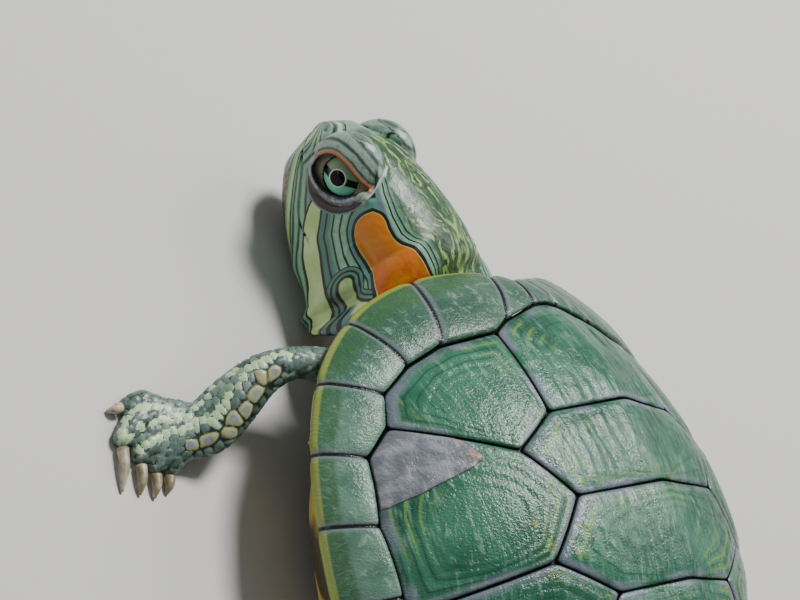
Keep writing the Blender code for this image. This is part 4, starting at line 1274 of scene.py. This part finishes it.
class Nodes:
    """Makes and joins shader nodes."""

    def __init__(self, tree, shader):
        self.tree = tree
        self.shader = shader

    def add(self, kind, inputs=(), **settings):
        """A node with its settings, and inputs that are values or sockets."""
        node = self.tree.nodes.new(kind)
        for key, value in settings.items():
            setattr(node, key, value)
        for key, value in dict(inputs).items():
            socket = node.inputs[key]
            if isinstance(value, bpy.types.NodeSocket):
                self.tree.links.new(value, socket)
            else:
                socket.default_value = value
        return node

    def attribute(self, name, output="Fac"):
        """A mark of the mesh."""
        return self.add("ShaderNodeAttribute", attribute_name=name).outputs[output]

    def split(self, vector):
        """The three parts of a vector."""
        node = self.add("ShaderNodeSeparateXYZ", {0: vector})
        return node.outputs[0], node.outputs[1], node.outputs[2]

    def join(self, x, y, z):
        """A vector of three parts."""
        return self.add("ShaderNodeCombineXYZ", {0: x, 1: y, 2: z}).outputs[0]

    def stretched(self, x, y, across, back, shift=0.0):
        """A place in the plane, its two parts multiplied for streaky noise."""
        return self.join(self.times(x, across), self.times(y, back), shift)

    def math(self, operation, a, b=0.0):
        """One sum on one or two values."""
        return self.add("ShaderNodeMath", {0: a, 1: b}, operation=operation).outputs[0]

    def times(self, a, b):
        """Product of two values."""
        return self.math("MULTIPLY", a, b)

    def plus(self, a, b):
        """Sum of two values."""
        return self.math("ADD", a, b)

    def noise(self, vector, scale, detail=2.0, roughness=0.5, warp=0.0):
        """Fractal noise."""
        node = self.add("ShaderNodeTexNoise", {"Vector": vector, "Scale": scale,
                                               "Detail": detail, "Roughness": roughness,
                                               "Distortion": warp})
        return node.outputs["Fac"]

    def band(self, value, low, high):
        """Smooth rise from 0 to 1 between two values."""
        node = self.add("ShaderNodeMapRange", {"Value": value, "From Min": low,
                                               "From Max": high},
                        interpolation_type="SMOOTHSTEP")
        return node.outputs["Result"]

    def mix(self, share, a, b):
        """Mix of two colours, the second one by a share."""
        first, second = [c if isinstance(c, bpy.types.NodeSocket) else (*c, 1) for c in (a, b)]
        node = self.add("ShaderNodeMix", {0: share, 6: first, 7: second}, data_type="RGBA")
        return node.outputs[2]

    def tint(self, base, mask, share, colour):
        """A colour laid over another where a mask is, at most by a share."""
        return self.mix(self.times(mask, share), base, colour)

    def colour(self, socket):
        """Set the surface colour."""
        self.tree.links.new(socket, self.shader.inputs["Base Color"])

    def roughness(self, socket):
        """Set the roughness."""
        self.tree.links.new(socket, self.shader.inputs["Roughness"])

    def bump(self, height, distance, strength=1.0):
        """Fine relief."""
        node = self.add("ShaderNodeBump", {"Height": height, "Distance": distance,
                                           "Strength": strength})
        self.tree.links.new(node.outputs[0], self.shader.inputs["Normal"])


def srgb(red, green, blue):
    """Linear colour of a 0-255 display colour."""
    parts = []
    for value in (red, green, blue):
        share = value / 255
        parts.append(share / 12.92 if share <= 0.04045 else ((share + 0.055) / 1.055) ** 2.4)
    return tuple(parts)


INK = srgb(14, 22, 20)
DARK_LINE = srgb(30, 46, 40)
SEAM_DARK = srgb(16, 20, 18)
# Height of the finest grain of the horn and of the other surfaces, in metres
HORN_GRAIN = 0.00012
FINE_GRAIN = 0.00008
SKIN_GRAIN = 0.00006


def line_mask(n, value, centre, width):
    """One where a value is within a width of a centre, with soft edges."""
    away = n.math("ABSOLUTE", n.math("SUBTRACT", value, centre))
    return n.band(away, width, width * 0.45)


def green_horn(n, plan, lengthwise, broad):
    """Green horn with pale and dark streaks along it."""
    horn = n.mix(n.band(broad, 0.35, 0.65), srgb(30, 84, 62), srgb(58, 114, 88))
    streak = n.noise(lengthwise, 1.0, 4.0, 0.6, 0.6)
    horn = n.tint(horn, n.band(streak, 0.52, 0.72), 0.55, srgb(126, 168, 142))
    dark = n.noise(lengthwise, 1.3, 3.0, 0.6, 0.4)
    n.bump(n.plus(streak, n.noise(plan, 260.0, 2.0, 0.6)), HORN_GRAIN, 0.5)
    return n.tint(horn, n.band(dark, 0.56, 0.70), 0.5, srgb(24, 62, 44))


def growth_lines(n, horn, near, broad, patch):
    """Dark growth lines round the areola, with yellow-green between them in patches."""
    rings = n.math("SINE", n.plus(n.times(near, 56.0), n.times(broad, 9.0)))
    lines = n.times(n.band(rings, 0.70, 0.95), n.band(near, 0.35, 0.8))
    horn = n.tint(horn, lines, 0.55, srgb(22, 62, 48))
    glow = n.times(n.band(rings, -0.55, -0.9),
                   n.times(n.band(near, 0.45, 0.8), n.band(patch, 0.50, 0.62)))
    return n.tint(horn, glow, 0.6, srgb(118, 150, 52))


def old_flake(n, horn, fleck, x):
    """The grey flake of old horn with its brown tip and dark edge."""
    flake = n.attribute("flake")
    old = n.mix(n.band(fleck, 0.40, 0.62), srgb(104, 108, 116), srgb(142, 144, 150))
    tip = n.times(n.band(x, 0.318, 0.305), n.band(fleck, 0.35, 0.6))
    old = n.tint(old, tip, 0.8, srgb(158, 132, 100))
    horn = n.mix(n.band(flake, 0.0006, -0.0006), horn, old)
    return n.tint(horn, line_mask(n, flake, 0.0008, 0.0012), 0.75, srgb(52, 44, 34))


def scute_material():
    """Wet-looking green horn with flecks, growth lines and pale seams."""
    material, n = new_material("scute_horn", 0.32)
    plan = n.attribute("plan", "Vector")
    x, y, _ = n.split(plan)
    edge = n.attribute("edge")
    broad = n.noise(plan, 9.0, 3.0, 0.55)
    fleck = n.noise(plan, 34.0, 4.0, 0.65, 0.5)
    patch = n.noise(plan, 7.0, 1.0)
    lengthwise = n.stretched(x, y, 130.0, 26.0)
    horn = green_horn(n, plan, lengthwise, broad)
    spots = n.times(n.band(fleck, 0.56, 0.68), n.band(patch, 0.45, 0.65))
    horn = n.tint(horn, spots, 0.7, srgb(128, 150, 44))
    horn = growth_lines(n, horn, n.attribute("near"), broad, patch)
    horn = n.tint(horn, n.band(x, -0.05, -0.40), 0.45, srgb(92, 96, 56))
    pale = n.times(n.band(edge, 0.0160, 0.0060), n.band(n.noise(plan, 16.0), 0.38, 0.60))
    horn = n.tint(horn, pale, 0.75, srgb(118, 122, 136))
    horn = old_flake(n, horn, fleck, x)
    n.colour(n.mix(n.band(edge, 0.0022, 0.0006), horn, SEAM_DARK))
    rough = n.noise(lengthwise, 2.0, 3.0, 0.6)
    n.roughness(n.add("ShaderNodeMapRange", {"Value": rough, "To Min": 0.16,
                                             "To Max": 0.38}).outputs[0])
    return material


def rim_material():
    """Paler horn of the rim scutes with a yellow-green edge."""
    material, n = new_material("rim_horn", 0.32)
    plan = n.attribute("plan", "Vector")
    x, y, _ = n.split(plan)
    edge = n.attribute("edge")
    share = n.attribute("share")
    broad = n.noise(plan, 12.0, 3.0, 0.6)
    base = n.mix(n.band(broad, 0.35, 0.65), srgb(58, 98, 80), srgb(98, 134, 114))
    base = n.tint(base, n.band(y, -0.29, -0.35), 0.6, srgb(40, 76, 54))
    fine = n.noise(plan, 80.0, 4.0, 0.65, 1.0)
    base = n.tint(base, n.band(fine, 0.52, 0.70), 0.5, srgb(150, 178, 158))
    strip = n.times(n.band(share, 0.66, 0.76), n.band(fine, 0.30, 0.55))
    base = n.tint(base, strip, 0.8, srgb(52, 92, 52))
    base = n.mix(n.band(share, 0.945, 0.975), base, srgb(136, 150, 64))
    base = n.mix(n.band(share, 1.2, 1.4), base, srgb(168, 160, 78))
    base = n.tint(base, n.band(x, -0.05, -0.40), 0.45, srgb(96, 98, 60))
    base = n.tint(base, n.band(edge, 0.0110, 0.0050), 0.5, srgb(122, 128, 136))
    n.colour(n.mix(n.band(edge, 0.0042, 0.0016), base, SEAM_DARK))
    n.bump(n.plus(fine, n.noise(plan, 240.0, 2.0, 0.6)), HORN_GRAIN, 0.5)
    return material


def plastron_material():
    """Yellow horn with cloudy dark smudges."""
    material, n = new_material("plastron_horn", 0.4)
    place = n.add("ShaderNodeTexCoord").outputs["Object"]
    cloud = n.noise(place, 95.0, 3.0, 0.55)
    base = n.mix(n.band(n.noise(place, 160.0, 4.0, 0.6), 0.35, 0.65), srgb(176, 150, 62),
                 srgb(212, 186, 84))
    base = n.mix(n.band(cloud, 0.55, 0.61), base, srgb(66, 62, 40))
    n.colour(base)
    n.bump(n.noise(place, 900.0, 3.0, 0.6), FINE_GRAIN, 0.5)
    return material


def plain_material(name, colour, darker, roughness, scale):
    """A mottled material of two colours."""
    material, n = new_material(name, roughness)
    place = n.add("ShaderNodeTexCoord").outputs["Object"]
    cloud = n.noise(place, scale, 4.0, 0.6)
    n.colour(n.mix(n.band(cloud, 0.35, 0.65), darker, colour))
    n.bump(n.noise(place, scale * 6, 3.0, 0.6), FINE_GRAIN, 0.5)
    return material


class HeadMarks:
    """The marks of the head as shader values, and the clouding of its skin."""

    def __init__(self, n):
        self.ahead, self.turn, self.snout = n.split(n.attribute("round", "Vector"))
        self.patch, self.stripe, self.loop = n.split(n.attribute("patch", "Vector"))
        self.between, self.jaw, self.crown = n.split(n.attribute("lines", "Vector"))
        self.gap, self.ring, self.below = n.split(n.attribute("lid", "Vector"))
        self.lobe = n.attribute("lobe")
        place = n.attribute("place", "Vector")
        self.cloud = n.noise(place, 5.0, 3.0, 0.55)
        self.fine = n.noise(place, 30.0, 4.0, 0.65)


def crown_look(n, m):
    """Green crown with wavy pale streaks, and dark bands along its edge."""
    wander = n.noise(n.stretched(m.ahead, m.crown, 5.0, 9.0), 1.0, 2.0, 0.5, 0.8)
    wave = n.math("SINE", n.plus(n.times(m.crown, 58.0), n.times(wander, 17.0)))
    slow = n.noise(n.stretched(m.ahead, m.crown, 7.0, 14.0, 3.0), 1.0, 2.0, 0.5)
    look = n.mix(n.band(m.cloud, 0.35, 0.65), srgb(46, 78, 52), srgb(78, 112, 72))
    streak = n.times(n.band(wave, 0.10, 0.60), n.band(slow, 0.40, 0.62))
    look = n.mix(streak, look, srgb(150, 176, 104))
    look = n.tint(look, line_mask(n, wave, -0.35, 0.5), 0.7, srgb(26, 42, 32))
    bands = n.mix(n.band(m.crown, 0.020, 0.045), srgb(96, 116, 122), srgb(134, 178, 146))
    bands = n.mix(n.band(m.crown, 0.075, 0.085), bands, srgb(96, 142, 118))
    for centre in (0.066, 0.104):
        bands = n.mix(line_mask(n, m.crown, centre, 0.009), bands, INK)
    return n.mix(n.band(m.crown, 0.16, 0.10), look, bands)


def cheek_look(n, m):
    """Green bands and thin dark lines between the ear patch and the pale stripe."""
    steps = n.times(m.between, 5.0)
    cheek = n.mix(n.band(steps, 1.2, 2.4), srgb(70, 122, 106), srgb(134, 182, 146))
    cheek = n.mix(n.band(steps, 3.2, 4.6), cheek, srgb(88, 136, 124))
    cheek = n.tint(cheek, n.band(m.fine, 0.45, 0.7), 0.35, srgb(60, 104, 92))
    return n.mix(n.band(n.math("PINGPONG", steps, 0.5), 0.17, 0.08), cheek, INK)


def chin_look(n, m):
    """Lines along the jaw, the stripes of the snout and the mottled throat."""
    warp = n.plus(m.jaw, n.times(n.math("SUBTRACT", m.cloud, 0.5), 0.03))
    wave = n.math("PINGPONG", n.times(warp, 15.0), 0.5)
    chin = n.mix(n.band(wave, 0.12, 0.30), srgb(58, 94, 78), srgb(128, 170, 136))
    chin = n.mix(n.band(wave, 0.09, 0.04), chin, DARK_LINE)
    mottle = n.mix(n.band(m.cloud, 0.40, 0.60), srgb(64, 92, 78), srgb(126, 156, 136))
    mottle = n.tint(mottle, n.band(m.fine, 0.45, 0.62), 0.6, srgb(96, 108, 102))
    chin = n.mix(n.band(m.jaw, 0.20, 0.26), chin, mottle)
    for centre, width, colour in ((0.0, 0.030, srgb(156, 196, 160)), (0.048, 0.010, DARK_LINE),
                                  (0.078, 0.016, srgb(122, 162, 138))):
        chin = n.mix(line_mask(n, m.snout, centre, width), chin, colour)
    lip = n.mix(n.band(m.fine, 0.42, 0.60), srgb(48, 40, 28), srgb(112, 108, 66))
    chin = n.mix(n.times(n.band(m.jaw, -0.03, -0.06), n.band(m.ahead, 0.36, 0.26)), chin, lip)
    chin = n.mix(line_mask(n, m.jaw, 0.0, 0.022), chin, srgb(168, 204, 126))
    return n.mix(line_mask(n, m.jaw, 0.034, 0.011), chin, INK)


def side_look(n, m, look):
    """The looped mark, the pale stripe and the orange patch, each with its dark edge."""
    hoop = n.mix(n.band(m.loop, 0.045, 0.056), srgb(158, 186, 120), srgb(78, 122, 102))
    for centre, width in ((0.046, 0.013), (0.078, 0.009), (0.108, 0.008)):
        hoop = n.mix(line_mask(n, m.loop, centre, width), hoop, INK)
    look = n.mix(n.times(n.band(m.loop, 0.112, 0.108), n.band(m.stripe, 0.0, 0.004)), look, hoop)
    pale = n.mix(n.band(m.cloud, 0.3, 0.7), srgb(170, 196, 122), srgb(196, 216, 158))
    look = n.mix(n.band(m.stripe, 0.004, -0.004), look, pale)
    look = n.mix(line_mask(n, m.stripe, 0.008, 0.011), look, INK)
    orange = n.mix(n.band(m.ahead, -0.50, -0.90), srgb(214, 122, 4), srgb(176, 74, 4))
    orange = n.tint(orange, n.band(m.cloud, 0.42, 0.66), 0.5, srgb(190, 134, 10))
    orange = n.mix(n.band(m.patch, -0.010, -0.004), orange, srgb(196, 170, 92))
    look = n.mix(n.band(m.patch, 0.026, 0.022), look, INK)
    return n.mix(n.band(m.patch, 0.002, -0.002), look, orange)


def lid_look(n, m):
    """Ringed lids with a brown rim, grey below with a painted shadow under the lower lid, and the
    lobe in the eye's rear corner.
    """
    rings = n.math("PINGPONG", n.plus(n.times(m.gap, 15.0), n.times(m.cloud, 0.8)), 0.5)
    lid = n.mix(n.band(rings, 0.10, 0.26), srgb(72, 90, 84), srgb(136, 160, 142))
    lid = n.mix(n.band(m.fine, 0.5, 0.7), lid, srgb(110, 122, 122))
    lid = n.mix(n.band(rings, 0.06, 0.02), lid, srgb(40, 54, 50))
    rear = n.band(m.ahead, -0.02, -0.12)
    for centre, colour in ((0.299, srgb(176, 188, 176)), (0.283, INK)):
        lid = n.mix(n.times(line_mask(n, m.ring, centre, 0.008), rear), lid, colour)
    rim = n.mix(n.band(m.gap, 0.008, 0.016), srgb(70, 40, 22), srgb(152, 96, 44))
    rim = n.mix(n.band(m.gap, 0.020, 0.034), rim, srgb(120, 116, 98))
    lid = n.mix(n.band(m.gap, 0.046, 0.032), lid, rim)
    low = n.mix(n.band(m.fine, 0.40, 0.62), srgb(96, 98, 110), srgb(156, 158, 168))
    # painted shadow: brown to near black crescent from the groove below the lower lid outwards,
    # for the shade under the eyeball's bulge
    painted_lid_shadow = n.mix(n.band(m.gap, 0.072, 0.095), srgb(80, 70, 56), srgb(26, 22, 20))
    low = n.mix(n.band(m.gap, 0.056, 0.064), low, painted_lid_shadow)
    low = n.mix(n.band(m.gap, 0.014, 0.004), low, srgb(44, 44, 48))
    low = n.mix(n.band(m.ring, 0.292, 0.300), low, srgb(112, 118, 124))
    lid = n.mix(m.below, lid, low)
    lid = n.mix(n.band(m.lobe, 1.15, 0.85), lid, srgb(140, 158, 142))
    return n.mix(n.band(m.gap, 0.001, -0.004), lid, srgb(104, 98, 76))


def head_look(n):
    """Colours of the head and neck."""
    m = HeadMarks(n)
    look = n.mix(n.band(m.crown, -0.004, -0.012), crown_look(n, m), cheek_look(n, m))
    lower = n.band(n.math("SUBTRACT", m.between, n.band(m.ahead, -0.10, 0.0)), 0.0, -0.02)
    lower = n.times(lower, n.math("MAXIMUM", n.band(m.crown, 0.0, -0.01),
                                  n.band(m.ahead, 0.16, 0.20)))
    look = side_look(n, m, n.mix(lower, look, chin_look(n, m)))
    # painted shade on the underside of the neck near the shell, and the weave beside the shell
    painted_neck_shade = n.mix(n.band(m.fine, 0.40, 0.60), srgb(40, 36, 26), srgb(92, 90, 60))
    look = n.mix(n.times(n.band(m.ahead, -0.875, -0.90), n.band(m.turn, -0.10, -0.14)), look,
                 painted_neck_shade)
    beside = n.times(n.band(m.ahead, -0.83, -0.85),
                     n.times(n.band(m.turn, -0.125, -0.145), n.band(m.turn, -0.31, -0.29)))
    weave = n.math("PINGPONG", n.times(m.turn, 17.0), 0.5)
    look = n.mix(beside, look, n.mix(n.band(weave, 0.18, 0.26), INK, srgb(78, 108, 108)))
    return n.mix(n.band(m.ring, 0.312, 0.305), look, lid_look(n, m))


def limb_look(n):
    """Colours of the scaly arms and legs."""
    crease = n.attribute("crease")
    tone = n.attribute("tone")
    row = n.attribute("row")
    place = n.attribute("place", "Vector")
    fine = n.noise(place, 160.0, 3.0, 0.6)
    look = n.mix(tone, srgb(52, 76, 66), srgb(112, 134, 120))
    look = n.tint(look, n.band(fine, 0.4, 0.7), 0.4, srgb(112, 124, 128))
    look = n.mix(n.band(row, 0.35, 0.6), look, srgb(178, 206, 160))
    large = n.mix(fine, srgb(96, 108, 118), srgb(148, 156, 162))
    large = n.mix(n.band(crease, 0.52, 0.30), large, srgb(158, 160, 112))
    look = n.mix(n.band(row, -0.35, -0.6), look, large)
    return n.mix(n.band(crease, 0.20, 0.04), look, srgb(24, 34, 30))


def skin_material():
    """Striped skin of the head and neck, scaly skin of the limbs."""
    material, n = new_material("skin", 0.38)
    part = n.attribute("part")
    look = n.mix(n.band(part, 0.4, 0.6), head_look(n), limb_look(n))
    n.colour(look)
    place = n.attribute("place", "Vector")
    n.bump(n.noise(place, 60.0, 3.0, 0.6), SKIN_GRAIN, 0.4)
    return material


def eye_material():
    """Iris, pupil and the dark bar across the eye under a clear coat."""
    material, n = new_material("eye", 0.12)
    along, rise, out = n.split(n.attribute("eye_place", "Vector"))
    away = n.math("SQRT", n.plus(n.times(along, along),
                                 n.times(rise, rise)))
    base = n.mix(n.band(rise, 0.15, -0.35), srgb(128, 150, 118), srgb(120, 196, 170))
    bar = n.times(n.band(n.math("ABSOLUTE", rise), 0.20, 0.12),
                 n.band(away, 0.36, 0.42))
    base = n.mix(bar, base, srgb(18, 24, 22))
    specks = n.noise(n.join(along, rise, out), 7.0, 2.0, 0.6)
    base = n.mix(n.band(away, 0.78, 0.84), base, srgb(18, 40, 40))
    base = n.mix(n.band(away, 0.88, 0.93), base, n.mix(n.band(specks, 0.45, 0.56),
                                                       srgb(58, 48, 34), srgb(150, 164, 128)))
    base = n.mix(n.band(away, 0.375, 0.355), base, srgb(206, 224, 196))
    base = n.mix(n.band(away, 0.335, 0.32), base, (0.0005, 0.0005, 0.0005))
    n.colour(base)
    n.shader.inputs["Specular IOR Level"].default_value = 0.12
    n.shader.inputs["Coat Weight"].default_value = 0.06
    n.shader.inputs["Coat Roughness"].default_value = 0.03
    return material


# ---------------------------------------------------------------- building it all
scute_horn = scute_material()
rim_horn = rim_material()
for number, names in enumerate(VERTEBRALS, 1):
    plate(f"vertebral_{number}", outline_of(names, True), 1, scute_horn, 1.0, number)
for number, names in enumerate(PLEURALS, 1):
    calm = 0.14 if number == 2 else 0.5
    plate(f"pleural_left_{number}", outline_of(names, False), 1, scute_horn, calm, 10 + number)
    plate(f"pleural_right_{number}", outline_of(names, False), -1, scute_horn, calm,
          20 + number)
bed(plain_material("shell_bed", srgb(46, 46, 40), srgb(20, 20, 18), 0.6, 200.0))
NUCHAL_HALF = math.atan2(0.02, 0.48)
rim_piece("nuchal_horn", "nuchal", -NUCHAL_HALF, NUCHAL_HALF, rim_horn)
for word, side in (("left", 1), ("right", -1)):
    rim_piece(f"marginals_{word}_horn", f"marginals_{word}",
              side * (NUCHAL_HALF + GAP * 0.5), side * (math.pi - GAP * 0.3), rim_horn)
plastron(plastron_material())
skin(skin_material())
eye_look = eye_material()
eye("eye_left", 1, eye_look)
eye("eye_right", -1, eye_look)
claw_look = plain_material("claw_horn", srgb(188, 180, 150), srgb(132, 120, 92), 0.35, 900.0)
for foot, digits, turn, first in (("hand", FINGERS, RIGHT_ARM_TURN, UPPER_ARM[0]),
                                  ("foot", TOES, RIGHT_LEG_TURN, THIGH[0])):
    for number, digit in enumerate(digits, 1):
        claw(foot, number, digit, turn, first[:3], claw_look)


# ---------------------------------------------------------------- stage, light, camera
FLOOR_HALF = 3
PAPER = srgb(206, 204, 200)
SKY = (0.80, 0.85, 0.92)
SKY_STRENGTH = 0.28
# Lamps: share of the camera's down, right and away directions, distance, size and power
LAMPS = {"key": ((-0.80, 0.62, -0.30), 0.5, 0.12, 3.4),
         "fill": ((-0.2, -0.9, -0.6), 0.6, 0.30, 1.3),
         "rim": ((-0.4, 0.9, 0.1), 0.5, 0.20, 0.6)}


def link(name, data):
    """A new object of the scene."""
    thing = bpy.data.objects.new(name, data)
    bpy.context.scene.collection.objects.link(thing)
    return thing


def pale_floor():
    """A wide matt floor."""
    mesh = bpy.data.meshes.new("floor")
    corners = [(-1, -1), (1, -1), (1, 1), (-1, 1)]
    mesh.from_pydata([(x * FLOOR_HALF, y * FLOOR_HALF, 0) for x, y in corners], [],
                     [(0, 1, 2, 3)])
    paper, n = new_material("floor", 0.9)
    n.shader.inputs["Base Color"].default_value = (*PAPER, 1)
    mesh.materials.append(paper)
    link("floor", mesh)


def soft_light():
    """A pale sky and three area lamps."""
    world = bpy.data.worlds.new("world")
    world.use_nodes = True
    sky = world.node_tree.nodes["Background"]
    sky.inputs["Color"].default_value = (*SKY, 1)
    sky.inputs["Strength"].default_value = SKY_STRENGTH
    bpy.context.scene.world = world
    sides = np.array([CAMERA_DOWN, CAMERA_RIGHT, CAMERA_AWAY])
    for name, (shares, distance, size, power) in LAMPS.items():
        lamp = bpy.data.lights.new(name, "AREA")
        lamp.size = size
        lamp.energy = power
        thing = link(name, lamp)
        direction = unit(shares @ sides) @ TIP.T
        thing.location = direction * distance
        thing.rotation_euler = Vector(direction).to_track_quat("Z", "Y").to_euler()


def photograph_camera():
    """The camera at the photograph's viewing angle."""
    lens = bpy.data.cameras.new("camera")
    lens.sensor_width = 36.0
    lens.lens = CAMERA_LENS
    lens.clip_start = 0.01
    lens.clip_end = 20.0
    camera = link("camera", lens)
    x_axis, y_axis = TIP @ CAMERA_RIGHT, -(TIP @ CAMERA_DOWN)
    z_axis = np.cross(x_axis, y_axis)
    y_axis = np.cross(z_axis, x_axis)
    turn = Matrix([Vector(unit(a)) for a in (x_axis, y_axis, z_axis)]).transposed()
    camera.matrix_world = Matrix.Translation(Vector(stand([CAMERA_PLACE])[0])) @ turn.to_4x4()
    bpy.context.scene.camera = camera


pale_floor()
soft_light()
photograph_camera()
